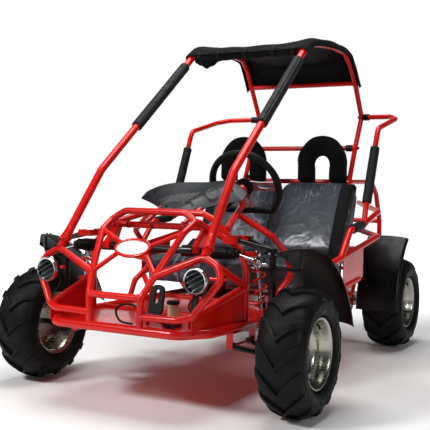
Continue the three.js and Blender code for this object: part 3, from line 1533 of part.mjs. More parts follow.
// Rear axle with hub flanges, sprocket and brake disc.
const sprocketX = 168;
const sprocketRadius = 92;
const sprocketTeeth = 12;
const sprocketThickness = 6;
const discX = -168;
const discRadius = 82;
const discThickness = 4;
const carrierLength = 26;
const carrierRadius = 34;
const axleBearing = 27;
const nutRadius = 20;
const nutLength = 16;
function rearAxle() {
  const end = rearTrackHalf - rimHalfRear * 0.1 + nutLength;
  const line = (from, to, radius, sides = 8) =>
    bar(V(from, rearAxleY, axleZ), V(to, rearAxleY, axleZ), radius, sides);
  const shape = new THREE.Shape();
  for (let i = 0; i < sprocketTeeth * 2; i++) {
    const angle = (i * Math.PI) / sprocketTeeth;
    const radius = i % 2 ? sprocketRadius : sprocketRadius - 6;
    if (i === 0) shape.moveTo(radius, 0);
    else shape.lineTo(radius * Math.cos(angle), radius * Math.sin(angle));
  }
  const plate = new THREE.ExtrudeGeometry(shape, { depth: sprocketThickness, bevelEnabled: false });
  plate.rotateY(Math.PI / 2);
  plate.translate(sprocketX - sprocketThickness / 2, rearAxleY, axleZ);
  const face = rearTrackHalf - rimHalfRear * 0.1 - rimWall - jointGap;
  const hubs = [-1, 1].flatMap((side) => [
    line(side * (face - rearHubFace), side * face, rearHubRadius, 10),
    line(
      side * (rearTrackHalf - rimHalfRear * 0.1 + jointGap),
      side * (rearTrackHalf - rimHalfRear * 0.1 + nutLength),
      nutRadius,
      6,
    ),
  ]);
  return join([
    line(-end, end, axleRadius),
    solid(plate),
    line(discX - discThickness / 2, discX + discThickness / 2, discRadius, 18),
    ...hubs,
  ]);
}

// Swing arm: side arms, cross tubes, axle carriers, engine plate, shock fork and brake caliper.
const plateHalfX = 125;
const plateLead = 180;
const plateTrail = 117;
const plateFrontY = rearAxleY - plateLead;
const plateRearY = rearAxleY + plateTrail;
const plateZ = 332;
const plateThickness = 6;
const crossY = monoLowY;
const crossZ = 266;
function swingArm() {
  const pivot = (x) => V(x, swingPivotY, swingPivotZ);
  const bush = bar(pivot(swingX - swingBushHalf), pivot(swingX + swingBushHalf), swingRadius, 8);
  const bushBore = bar(
    pivot(swingX - swingBushHalf - overrun),
    pivot(swingX + swingBushHalf + overrun),
    swingPinRadius + runningGap * 2,
    8,
  );
  const carrier = bar(
    V(swingX - carrierLength / 2, rearAxleY, axleZ),
    V(swingX + carrierLength / 2, rearAxleY, axleZ),
    carrierRadius,
    10,
  );
  const carrierBore = bar(
    V(swingX - carrierLength, rearAxleY, axleZ),
    V(swingX + carrierLength, rearAxleY, axleZ),
    axleRadius + runningGap * 0.7,
    16,
  );
  const armTube = bent([pivot(swingX), V(swingX, crossY, crossZ), V(swingX, rearAxleY, axleZ)], hoopRadius + 1);
  const platePost = sweep(
    [V(swingX, crossY, crossZ), V(swingX * 0.9, plateFrontY, plateZ), V(plateHalfX * 0.5, plateFrontY, plateZ)],
    circle(hoopRadius - 2, 5),
  );
  const rearPost = sweep(
    [
      V(swingX, rearAxleY, axleZ + carrierRadius * 0.9),
      V(swingX, rearAxleY + carrierRadius * 1.8, plateZ),
      V(plateHalfX * 0.8, rearAxleY + carrierRadius * 2.4, plateZ),
    ],
    circle(hoopRadius - 2, 5),
  );
  const sides = withMirror(join([bush, carrier, armTube, platePost, rearPost]));
  const cross = bar(V(-swingX, crossY, crossZ), V(swingX, crossY, crossZ), hoopRadius);
  const monoBase = V(0, monoLowY, monoLowZ);
  const monoFork = uPlate(monoBase, openUpAcross, shockFork(monoLowZ - crossZ - hoopRadius / 2));
  const plate = box(
    2 * plateHalfX,
    plateRearY - plateFrontY,
    plateThickness,
    V(0, (plateFrontY + plateRearY) / 2, plateZ),
  );
  const caliperX = discX;
  const caliper = box(
    sprocketThickness * 7,
    discRadius * 0.6,
    discRadius * 0.5,
    V(caliperX, rearAxleY - discRadius * 0.82, axleZ + discRadius * 0.2),
  );
  const caliperArm = bar(
    V(caliperX, rearAxleY - discRadius * 0.95, axleZ + discRadius * 0.2),
    V(-swingX, rearAxleY - discRadius * 0.95, axleZ + discRadius * 0.35),
    hoopRadius,
  );
  const slot = bar(
    V(discX - discThickness / 2 - 1, rearAxleY, axleZ),
    V(discX + discThickness / 2 + 1, rearAxleY, axleZ),
    discRadius + 4,
    12,
  );
  const all = join([sides, cross, monoFork, plate, cut(join([caliper, caliperArm]), [slot])]);
  return cut(all, [bushBore, mirrored(bushBore), carrierBore, mirrored(carrierBore)]);
}

// Engine: crankcase, finned cylinder, tank, recoil, air box, muffler, drive cover and chain run.
const engineLead = 35;
const engineY = rearAxleY - engineLead;
const engineBase = plateZ + plateThickness / 2 + jointGap;
const caseWidth = 170;
const caseDepth = 150;
const caseHeight = 130;
const finCount = 3;
const chainWidth = 9;
const chainWall = 8;
const chainClear = 6;
const guardThickness = 2;
const driveSprocket = 26;
function engine() {
  const base = V(0, engineY, engineBase);
  const place = (x, y, z) => base.clone().add(V(x, y, z));
  const crankcase = box(caseWidth, caseDepth, caseHeight, place(0, 0, caseHeight / 2));
  const feet = box(caseWidth * 1.1, caseDepth * 1.1, caseHeight * 0.08, place(0, 0, caseHeight * 0.04));
  const fins = [];
  const lean = THREE.MathUtils.degToRad(-25);
  for (let i = 0; i < finCount; i++) {
    const along = caseHeight * (0.3 + i * 0.13);
    const y = caseDepth * 0.35 + along * Math.cos(lean);
    fins.push(box(caseWidth * 0.62, 5, caseHeight * 0.72, place(0, y, caseHeight * 0.5 + along * 0.45), lean));
  }
  const head = box(
    caseWidth * 0.5,
    caseHeight * 0.9,
    caseHeight * 0.52,
    place(0, caseDepth * 0.62, caseHeight * 0.72),
    -lean,
  );
  const recoil = bar(place(-caseWidth * 0.72, 0, caseHeight * 0.55), place(0, 0, caseHeight * 0.55), caseHeight * 0.52, 10);
  const tank = cushionTank(place(-caseWidth * 0.05, -caseDepth * 0.06, caseHeight * 1.36));
  const airBox = box(
    caseWidth * 0.36,
    caseDepth * 0.5,
    caseHeight * 0.55,
    place(caseWidth * 0.5, caseDepth * 0.3, caseHeight * 1.12),
  );
  const muffler = bar(
    place(-caseWidth * 0.62, caseDepth * 0.66, caseHeight * 1.05),
    place(caseWidth * 0.3, caseDepth * 0.66, caseHeight * 1.05),
    caseHeight * 0.26,
    8,
  );
  const output = V(sprocketX, engineY - caseDepth * 0.1, engineBase + caseHeight * 0.45);
  const shaft = bar(V(0, output.y, output.z), V(sprocketX + chainWidth, output.y, output.z), driveSprocket * 0.5);
  return join([crankcase, feet, ...fins, head, recoil, tank, airBox, muffler, shaft, chainRun(output)]);
}

function cushionTank(centre) {
  const width = caseWidth * 1.35;
  const height = caseHeight * 0.62;
  const geometry = new THREE.BoxGeometry(width, caseDepth, height, 2, 2, 2);
  const spots = geometry.attributes.position;
  const half = V(width / 2, caseDepth / 2, height / 2);
  const round = height * 0.3;
  for (let i = 0; i < spots.count; i++) {
    const p = new THREE.Vector3().fromBufferAttribute(spots, i);
    const inner = p.clone().clamp(half.clone().negate().addScalar(round), half.clone().subScalar(round));
    const out = p.clone().sub(inner);
    if (out.length() > round) out.setLength(round);
    inner.add(out).add(centre);
    spots.setXYZ(i, inner.x, inner.y, inner.z);
  }
  const cap = bar(centre, centre.clone().add(V(0, 0, height * 0.7)), height * 0.28, 8);
  return join([solid(geometry), cap]);
}

// The chain's outer run round the engine sprocket and the axle sprocket.
function chainRun(output) {
  const axle = V(sprocketX, rearAxleY, axleZ);
  const span = axle.clone().sub(output);
  const heading = Math.atan2(span.z, span.y);
  const spread = Math.acos((sprocketRadius - driveSprocket) / span.length());
  const loop = (grow) => {
    const points = [];
    const arc = (centre, radius, from, to, steps) => {
      for (let i = 0; i <= steps; i++) {
        const angle = from + ((to - from) * i) / steps;
        points.push([centre.y + radius * Math.cos(angle), centre.z + radius * Math.sin(angle)]);
      }
    };
    arc(axle, sprocketRadius + grow, heading - (Math.PI - spread), heading + (Math.PI - spread), 10);
    arc(output, driveSprocket + grow, heading + (Math.PI - spread), heading + Math.PI + spread, 5);
    return points;
  };
  const outer = plateAcrossX(loop(chainWall + chainClear), sprocketX - chainWidth / 2, chainWidth);
  const hollow = plateAcrossX(loop(chainClear), sprocketX - chainWidth, chainWidth * 2);
  const driver = bar(
    V(sprocketX - chainWidth / 2, output.y, output.z),
    V(sprocketX + chainWidth / 2, output.y, output.z),
    driveSprocket + chainWall / 2,
    8,
  );
  const guard = bar(
    V(sprocketX + chainWidth / 2 - guardThickness, output.y, output.z),
    V(sprocketX + chainWidth / 2, output.y, output.z),
    driveSprocket + chainClear + chainWall,
    8,
  );
  return join([cut(outer, [hollow]), driver, guard]);
}

// Pedals
const pedalPivotZ = 290;
const pedalLead = 152;
const pedalPivotY = frontAxleY - pedalLead;
const pedalPadWidth = 52;
const pedalPadHeight = 92;
const pedalPadThickness = 12;
const pedalArm = 22;
const brakePedalX = 72;
const gasPedalX = 226;
const pedalBush = 8;
const pedalLean = THREE.MathUtils.degToRad(14);
function pedal(x) {
  const pad = new THREE.Shape();
  const half = pedalPadWidth / 2 - 3;
  const corner = half * 0.75;
  pad.moveTo(-half, 0);
  pad.lineTo(-half, pedalPadHeight - corner);
  pad.quadraticCurveTo(-half, pedalPadHeight, 0, pedalPadHeight);
  pad.quadraticCurveTo(half, pedalPadHeight, half, pedalPadHeight - corner);
  pad.lineTo(half, 0);
  pad.quadraticCurveTo(0, -corner, -half, 0);
  const geometry = new THREE.ExtrudeGeometry(pad, {
    depth: pedalPadThickness - 4,
    bevelThickness: 2,
    bevelSize: 3,
    bevelSegments: 1,
    curveSegments: 3,
  });
  geometry.translate(0, pedalBush, 2);
  geometry.rotateX(Math.PI / 2 - pedalLean);
  geometry.translate(x, pedalPivotY, pedalPivotZ);
  const bush = bar(
    V(x - pedalPadWidth / 2, pedalPivotY, pedalPivotZ),
    V(x + pedalPadWidth / 2, pedalPivotY, pedalPivotZ),
    pedalBush,
    8,
  );
  const bore = bar(
    V(x - pedalPadWidth, pedalPivotY, pedalPivotZ),
    V(x + pedalPadWidth, pedalPivotY, pedalPivotZ),
    pinBore,
    6,
  );
  return cut(join([solid(geometry), bush]), [bore]);
}

// Brackets on the floor with the pins that carry the pedals
function pedalBrackets() {
  const floorZ = at("railFront").z;
  const stand = (x) => {
    const half = pedalPadWidth / 2 + bracketGap;
    const ears = [-1, 1].map((side) =>
      box(
        earThickness,
        2 * pedalBush,
        pedalPivotZ + pedalBush - floorZ,
        V(x + side * (half + earThickness / 2), pedalPivotY, (pedalPivotZ + pedalBush + floorZ) / 2),
      ),
    );
    const pin = bar(
      V(x - half - earThickness, pedalPivotY, pedalPivotZ),
      V(x + half + earThickness, pedalPivotY, pedalPivotZ),
      pinRadius,
    );
    return join([...ears, pin]);
  };
  return join([stand(brakePedalX), stand(gasPedalX)]);
}

// Master cylinder with reservoir, cap and the brake line that loops in front of the pedals
const masterX = 142;
const masterLead = 162;
const masterY = frontAxleY - masterLead;
const reservoirRadius = 17;
const reservoirHeight = 58;
const masterBodyRadius = 13;
const masterBodyHalf = 38;
const lineRadius = 3.5;
function masterCylinder() {
  const floorTop = at("railFront").z + sheetThickness / 2 + jointGap;
  const bodyZ = floorTop + masterBodyRadius;
  const body = bar(V(masterX, masterY - masterBodyHalf, bodyZ), V(masterX, masterY + masterBodyHalf, bodyZ), masterBodyRadius, 8);
  const foot = box(2.4 * masterBodyRadius, 1.6 * masterBodyHalf, masterBodyRadius, V(masterX, masterY, floorTop + masterBodyRadius / 2));
  const top = bodyZ + reservoirHeight;
  const reservoir = bar(V(masterX, masterY, bodyZ), V(masterX, masterY, top), reservoirRadius, 10);
  const cap = bar(V(masterX, masterY, top), V(masterX, masterY, top + masterBodyRadius), reservoirRadius * 1.14, 10);
  const route = brakeLineShares.map(([xShare, yShare, zShare]) =>
    V(xShare * frameHalf, frontAxleY + yShare * wheelbase, zShare * deckHeight),
  );
  const line = sweep([V(masterX, masterY - masterBodyHalf + lineRadius * 2, bodyZ), ...route], circle(lineRadius, 5));
  return join([body, foot, reservoir, cap, line]);
}
const brakeLineShares = [
  [0.36, -0.165, 0.45],
  [0.13, -0.158, 0.504],
  [-0.06, -0.152, 0.5],
  [-0.13, -0.152, 0.466],
  [-0.06, -0.156, 0.424],
  [0.1, -0.16, 0.417],
];

// Assembly
const frame = groupOf("frame");
add(frame, "floor_frame", join([floorFrame(), pedalBrackets()]), redPaint());
add(frame, "nose_frame", noseFrame(), redPaint());
add(frame, "roll_cage", rollCage(), redPaint());
add(frame, "rear_frame", rearFrame(), redPaint());
addPair(frame, "side_frame", sideFrame(), redPaint);
add(frame, "dash_cowl", dashCowl(), greyPlastic());
add(frame, "master_cylinder", masterCylinder(), blackPlastic());
add(frame, "rack_housing", rackHousing(), blackPaint());
const lamps = groupOf("lamps");
for (const side of [1, -1]) {
  const lamp = add(lamps, side > 0 ? "headlight_left" : "headlight_right", headlamp(), polished());
  lamp.position.set(side * lampCentre.x, lampCentre.y + lampDepth, lampCentre.z);
}

const soft = groupOf("soft");
const pillarPad = sleeve(
  at("pillarBend"),
  at("pillarTop"),
  pillarFoamShares,
  pillarRadius + foamBoreGap,
  foamRadius,
);
addPair(soft, "pillar_pad", pillarPad, blackFoam);
const sidePad = sleeve(
  at("barSocket"),
  at("barBend"),
  sideFoamShares,
  sideRadius - 1 + foamBoreGap,
  sideFoamRadius,
);
addPair(soft, "side_pad", sidePad, blackFoam);
add(soft, "canopy", canopy(), blackCloth());
add(soft, "seat_base", seatBase(), greyVinyl());
add(soft, "seat_back", seatBack(), greyVinyl());
addPair(soft, "headrest", headrest(), blackFoam);

const steering = groupOf("steering");
add(steering, "steering_wheel", steeringWheel(), blackPlastic());
add(steering, "rack_bar", rackBar(), steel());
addPair(steering, "rack_boot", rackBoot(), blackFoam);
addPair(steering, "tie_rod", tieRod(), polished);

const suspension = groupOf("suspension");
addPair(suspension, "upper_arm", upperArm(), blackPaint);
addPair(suspension, "lower_arm", lowerArm(), blackPaint);
addPair(suspension, "ball_joint", ballJoint(), steel);
addPair(suspension, "knuckle", knuckle(), blackPaint);
addPair(suspension, "front_fender", frontFender(), blackPlastic);

// Each shock stands in a group that leans from its lower eye to its upper eye.
function addShock(name, low, high, sizes, turn) {
  const pieces = shockPieces(low.distanceTo(high), sizes);
  const stand = new THREE.Group();
  stand.position.copy(low);
  const lean = new THREE.Quaternion().setFromUnitVectors(V(0, 0, 1), high.clone().sub(low).normalize());
  stand.quaternion.copy(lean.multiply(new THREE.Quaternion().setFromAxisAngle(V(0, 0, 1), turn)));
  suspension.add(stand);
  add(stand, name[0], pieces.body, polished());
  add(stand, name[1], pieces.rod, polished());
  add(stand, name[2], pieces.spring, redPaint());
  console.log(name[2] + " least gap to itself " + leastGap(pieces.stations).toFixed(2) + " mm");
}
for (const side of [1, -1]) {
  const label = side > 0 ? "_left" : "_right";
  const low = V(side * shockLowX, shockY, shockLowZ);
  const high = V(side * shockHighX, shockY, shockHighZ);
  addShock(["shock_body" + label, "shock_rod" + label, "shock_spring" + label], low, high, frontShock, 0);
}
addShock(
  ["rear_shock_body", "rear_shock_rod", "rear_shock_spring"],
  V(0, monoLowY, monoLowZ),
  V(0, monoHighY, monoHighZ),
  rearShock,
  Math.PI / 2,
);

const wheels = groupOf("wheels");
function addWheel(label, side, centreX, centreY, rim, cover) {
  const corner = new THREE.Group();
  corner.position.set(side * centreX, centreY, axleZ);
  wheels.add(corner);
  const facing = (made) => (side > 0 ? made : mirrored(made));
  add(corner, label + "_rim" + (side > 0 ? "_left" : "_right"), facing(rim), polished());
  add(corner, label + "_tyre" + (side > 0 ? "_left" : "_right"), facing(cover), tyreRubber());
}
const frontTyre = tyre(frontTyreWidth, rimHalfFront);
const rearTyre = tyre(rearTyreWidth, rimHalfRear);
for (const side of [1, -1]) {
  addWheel("front", side, frontTrackHalf, frontAxleY, frontRim(), frontTyre);
  addWheel("rear", side, rearTrackHalf, rearAxleY, rearRim(), rearTyre);
}

const rear = groupOf("rear");
add(rear, "swing_arm", swingArm(), redPaint());
add(rear, "rear_axle", rearAxle(), steel());
addPair(rear, "rear_fender", rearFender(), blackPlastic);
add(rear, "engine", engine(), engineGrey());
const pedals = groupOf("pedals");
add(pedals, "brake_pedal", pedal(brakePedalX), blackPlastic());
add(pedals, "gas_pedal", pedal(gasPedalX), blackPlastic());

export default kart;
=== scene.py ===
import math
import random

import bmesh
import bpy
import numpy as np
from mathutils import Matrix, Vector, noise


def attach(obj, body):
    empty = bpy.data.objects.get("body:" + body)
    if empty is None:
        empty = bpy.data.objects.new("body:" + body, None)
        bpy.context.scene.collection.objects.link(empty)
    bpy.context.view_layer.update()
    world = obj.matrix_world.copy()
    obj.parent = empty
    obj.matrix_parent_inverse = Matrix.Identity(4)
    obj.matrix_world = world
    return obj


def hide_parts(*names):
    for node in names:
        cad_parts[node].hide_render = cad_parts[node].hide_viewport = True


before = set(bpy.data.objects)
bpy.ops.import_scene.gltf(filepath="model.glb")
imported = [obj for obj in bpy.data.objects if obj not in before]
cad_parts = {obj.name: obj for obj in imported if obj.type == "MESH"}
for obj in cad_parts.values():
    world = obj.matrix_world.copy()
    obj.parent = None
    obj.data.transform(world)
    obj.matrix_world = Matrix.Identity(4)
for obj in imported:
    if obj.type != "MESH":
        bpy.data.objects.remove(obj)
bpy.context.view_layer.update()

random.seed(7)

# Sizes in millimetres, as the frame has them
MM = 0.001
FRAME_HALF, WHEELBASE, CAGE_TOP = 300, 1385, 1300
FRONT_AXLE_Y, REAR_AXLE_Y, AXLE_Z = -660, 725, 203
RAIL, PILLAR, SIDE, HOOP = 15, 14, 12, 11
BEND = 3.2
FRONT_TRACK, REAR_TRACK = 500, 384
BOTH = ((1, "left"), (-1, "right"))


def V(x, y, z):
    return np.array([x, y, z], float)


def unit(v):
    return v / np.linalg.norm(v)


def flip(p):
    return V(-p[0], p[1], p[2])


# ---------------------------------------------------------------- geometry
class Geo:
    """Points in millimetres and faces, gathered into one mesh."""

    def __init__(self):
        self.points, self.faces, self.looks = [], [], []

    def add(self, made, look=0):
        points, faces = made
        base = len(self.points)
        self.points.extend(np.asarray(points, float).tolist())
        self.faces.extend([tuple(i + base for i in f) for f in faces])
        self.looks.extend([look] * len(faces))
        return self

    def mirrored(self):
        other = Geo()
        other.points = [[-x, y, z] for x, y, z in self.points]
        other.faces = [tuple(reversed(f)) for f in self.faces]
        other.looks = list(self.looks)
        return other


def frames_along(points):
    """Tangent, normal and binormal at each point, carried along without twist."""
    steps = [unit(b - a) for a, b in zip(points[:-1], points[1:])]
    tangents = [steps[0]] + [unit(a + b) for a, b in zip(steps[:-1], steps[1:])] + [steps[-1]]
    guide = V(1, 0, 0) if abs(tangents[0][2]) > 0.9 else V(0, 0, 1)
    normal = unit(np.cross(guide, tangents[0]))
    normals = [normal]
    for a, b in zip(tangents[:-1], tangents[1:]):
        axis = np.cross(a, b)
        size = np.linalg.norm(axis)
        if size > 1e-9:
            axis = axis / size
            angle = math.atan2(size, float(a @ b))
            normal = (
                normal * math.cos(angle)
                + np.cross(axis, normal) * math.sin(angle)
                + axis * float(axis @ normal) * (1 - math.cos(angle))
            )
        normals.append(unit(normal))
    return [(t, n, np.cross(t, n)) for t, n in zip(tangents, normals)]


def sweep(points, outline, scales=None):
    """A closed outline, as (u, v) pairs, carried along points, with flat ends."""
    points = [np.asarray(p, float) for p in points]
    count = len(outline)
    scales = scales or [1] * len(points)
    verts, faces = [], []
    for p, (_, n, b), s in zip(points, frames_along(points), scales):
        for u, v in outline:
            verts.append(p + n * u * s + b * v * s)
    for j in range(len(points) - 1):
        for i in range(count):
            k = (i + 1) % count
            a, c = j * count, (j + 1) * count
            faces.append((a + i, a + k, c + k, c + i))
    faces.append(tuple(reversed(range(count))))
    last = (len(points) - 1) * count
    faces.append(tuple(range(last, last + count)))
    return verts, faces


def ring(radius, sides):
    return [(
        radius * math.cos(2 * math.pi * i / sides), radius * math.sin(2 * math.pi * i / sides)
    ) for i in range(sides)]


def rounded(points, bend, fine=True):
    """Straight runs whose corners are bent to a radius; not fine gives the frame's own corners."""
    points = [np.asarray(p, float) for p in points]
    out = [points[0]]
    for before, here, after in zip(points[:-2], points[1:-1], points[2:]):
        back, ahead = before - here, after - here
        turn = math.pi - math.acos(max(-1, min(1, float(unit(back) @ unit(ahead)))))
        if turn < math.radians(2 if fine else 32):
            out.append(here)
            continue
        reach = min(bend * math.tan(turn / 2), 0.48 * np.linalg.norm(back), 0.48 * np.linalg.norm(ahead))
        steps = max(2, math.ceil(math.degrees(turn) / 9)) if fine else (1 if turn < math.radians(72) else 2)
        start, end = here + unit(back) * reach, here + unit(ahead) * reach
        for i in range(steps + 1):
            t = i / steps
            out.append(start * (1 - t) ** 2 + here * 2 * t * (1 - t) + end * t * t)
    out.append(points[-1])
    return out


def tube(points, radius, sides=18, bend=None):
    return sweep(rounded(points, bend or radius * BEND), ring(radius, sides))


def bar(a, b, radius, sides=18, chamfer=0):
    """A straight round bar, its ends chamfered where asked."""
    if not chamfer:
        return sweep([a, b], ring(radius, sides))
    a, b = np.asarray(a, float), np.asarray(b, float)
    step = unit(b - a) * chamfer
    shares = [(radius - chamfer) / radius, 1, 1, (radius - chamfer) / radius]
    return sweep([a, a + step, b - step, b], ring(radius, sides), shares)


def turned(profile, axis="z", sides=48, centre=(0, 0, 0), closed=False):
    """A profile of (radius, along) turned round an axis."""
    verts, faces, rows = [], [], []
    for radius, along in profile:
        if radius < 1e-6:
            rows.append([len(verts)])
            verts.append((0, 0, along))
            continue
        rows.append(list(range(len(verts), len(verts) + sides)))
        for i in range(sides):
            angle = 2 * math.pi * i / sides
            verts.append((radius * math.cos(angle), radius * math.sin(angle), along))
    pairs = list(zip(rows[:-1], rows[1:]))
    if closed:
        pairs.append((rows[-1], rows[0]))
    for low, high in pairs:
        for i in range(sides):
            k = (i + 1) % sides
            if len(low) == 1 and len(high) == 1:
                break
            if len(low) == 1:
                faces.append((low[0], high[k], high[i]))
            elif len(high) == 1:
                faces.append((low[i], low[k], high[0]))
            else:
                faces.append((low[i], low[k], high[k], high[i]))
    order = {"z": (0, 1, 2), "x": (2, 0, 1), "y": (1, 2, 0)}[axis]
    verts = np.array(verts)[:, order] + np.array(centre, float)
    return verts, faces


def placed(made, matrix):
    points, faces = made
    turn = np.array(matrix)
    return np.asarray(points, float) @ turn[:3, :3].T + turn[:3, 3], faces


def basis(origin, x, y, z):
    m = np.eye(4)
    m[:3, 0], m[:3, 1], m[:3, 2], m[:3, 3] = x, y, z, origin
    return m


def box(size, centre, matrix=None):
    sx, sy, sz = (s / 2 for s in size)
    verts = [V(x, y, z) + np.asarray(centre, float) for x in (-sx, sx) for y in (-sy, sy) for z in (-sz, sz)]
    faces = [(0, 1, 3, 2), (4, 6, 7, 5), (0, 4, 5, 1), (2, 3, 7, 6), (0, 2, 6, 4), (1, 5, 7, 3)]
    made = (verts, faces)
    return placed(made, matrix) if matrix is not None else made


def prism(outline, low, high, matrix=None):
    """A closed outline of (x, y) carried from z = low to high."""
    count = len(outline)
    verts = [V(x, y, z) for z in (low, high) for x, y in outline]
    faces = [(i, (i + 1) % count, count + (i + 1) % count, count + i) for i in range(count)]
    faces += [tuple(reversed(range(count))), tuple(range(count, 2 * count))]
    made = (verts, faces)
    return placed(made, matrix) if matrix is not None else made


def shell(columns, rows, outer, inner):
    """A closed sheet between two surfaces of (u, v)."""
    verts, faces = [], []
    stride = columns + 1
    layer = stride * (rows + 1)
    for surface in (outer, inner):
        for j in range(rows + 1):
            for i in range(columns + 1):
                verts.append(surface(i / columns, j / rows))
    for j in range(rows):
        for i in range(columns):
            a = j * stride + i
            faces.append((a, a + 1, a + 1 + stride, a + stride))
            faces.append((layer + a, layer + a + stride, layer + a + 1 + stride, layer + a + 1))
    edge = list(range(columns)) + [j * stride + columns for j in range(rows)]
    edge += [rows * stride + i for i in range(columns, 0, -1)] + [j * stride for j in range(rows, 0, -1)]
    for k, a in enumerate(edge):
        b = edge[(k + 1) % len(edge)]
        faces.append((b, a, a + layer, b + layer))
    return verts, faces


def spline(points, t):
    """A Catmull-Rom curve through points, at t from 0 to 1."""
    points = [np.atleast_1d(np.asarray(p, float)) for p in points]
    last = len(points) - 1
    t = min(max(t, 0), 1) * last
    i = min(int(t), last - 1)
    t -= i
    a, b, c, d = (points[min(max(k, 0), last)] for k in (i - 1, i, i + 1, i + 2))
    return 0.5 * (2 * b + (c - a) * t + (2 * a - 5 * b + 4 * c - d) * t**2 + (3 * b - a - 3 * c + d) * t**3)


# ---------------------------------------------------------------- pieces
def piece(name, geo, looks, body, slot, nodes=(), sharp=38, bevel=0, subdivide=0):
    """A mesh object made of a Geo, riding on a body; the slot argument is not used."""
    if isinstance(geo, tuple):
        geo = Geo().add(geo)
    mesh = bpy.data.meshes.new(name)
    mesh.from_pydata((np.array(geo.points) * MM).tolist(), [], geo.faces)
    mesh.validate()
    turned_out = bmesh.new()
    turned_out.from_mesh(mesh)
    bmesh.ops.recalc_face_normals(turned_out, faces=turned_out.faces)
    turned_out.to_mesh(mesh)
    turned_out.free()
    mesh.update()
    looks = looks if isinstance(looks, (list, tuple)) else [looks]
    for look in looks:
        mesh.materials.append(look)
    if len(looks) > 1:
        mesh.polygons.foreach_set("material_index", geo.looks)
    obj = bpy.data.objects.new(name, mesh)
    bpy.context.scene.collection.objects.link(obj)
    return dress(obj, body, slot, nodes, sharp, bevel, subdivide)


def dress(obj, body, slot, nodes=(), sharp=38, bevel=0, subdivide=0):
    obj.data.shade_smooth()
    if sharp < 180:
        obj.data.set_sharp_from_angle(angle=math.radians(sharp))
    if bevel:
        rounding = obj.modifiers.new("edge", "BEVEL")
        rounding.width = bevel * MM
        rounding.segments = 2
        rounding.limit_method = "ANGLE"
        rounding.angle_limit = math.radians(40)
        rounding.harden_normals = False
    if subdivide:
        finer = obj.modifiers.new("finer", "SUBSURF")
        finer.levels = finer.render_levels = subdivide
    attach(obj, body)
    if nodes:
        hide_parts(*nodes)
    return obj


def node_points(node):
    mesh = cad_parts[node].data
    points = np.array([v.co for v in mesh.vertices]) / MM
    faces = [tuple(p.vertices) for p in mesh.polygons]
    return points, faces


def merged(points, faces):
    """Points that lie on each other become one, so that shading runs across."""
    keys, index, kept = {}, [], []
    for p in points:
        key = tuple(np.round(p, 2))
        if key not in keys:
            keys[key] = len(kept)
            kept.append(p)
        index.append(keys[key])
    out = []
    for f in faces:
        g = tuple(index[i] for i in f)
        if len(set(g)) == len(g):
            out.append(g)
    return np.array(kept), out


def copy_of(node, look, body, slot, name=None, sharp=38, bevel=0, subdivide=0):
    """The node's own shape, shaded round where it is round."""
    points, faces = merged(*node_points(node))
    return piece(name or node + "_skin", (points, faces), look, body, slot, [node], sharp, bevel, subdivide)


def off_tubes(node, tubes):
    """The node's faces that aren't on its tubes: plates, forks and sheets."""
    points, faces = merged(*node_points(node))
    starts, ends, radii = [], [], []
    for path, radius in tubes:
        coarse = rounded(path, radius * BEND, fine=False)
        for a, b in zip(coarse[:-1], coarse[1:]):
            starts.append(a)
            ends.append(b)
            radii.append(radius)
    starts, ends, radii = np.array(starts), np.array(ends), np.array(radii)
    along = ends - starts
    squares = (along**2).sum(1)

    def outside(p):
        t = np.clip(((p - starts) * along).sum(1) / squares, 0, 1)
        return float((np.linalg.norm(starts + along * t[:, None] - p, axis=1) - radii).min())

    heights = [outside(p) for p in points]
    kept = []
    for f in faces:
        corners = points[list(f[:3])]
        sides = [np.linalg.norm(corners[i] - corners[i - 1]) for i in range(3)]
        if np.linalg.norm(np.cross(corners[1] - corners[0], corners[2] - corners[0])) < 0.4 * max(sides):
            continue
        if max(heights[i] for i in f) > 0.7:
            kept.append(f)
            continue
        centre = points[list(f)].mean(0)
        if outside(centre) > 0.5:
            kept.append(f)
    used = sorted({i for f in kept for i in f})
    number = {i: k for k, i in enumerate(used)}
    return points[used] if used else [], [tuple(number[i] for i in f) for f in kept]


# ---------------------------------------------------------------- materials
def linear(*rgb):
    return [((c / 255 + 0.055) / 1.055) ** 2.4 if c > 10.3 else c / 255 / 12.92 for c in rgb]


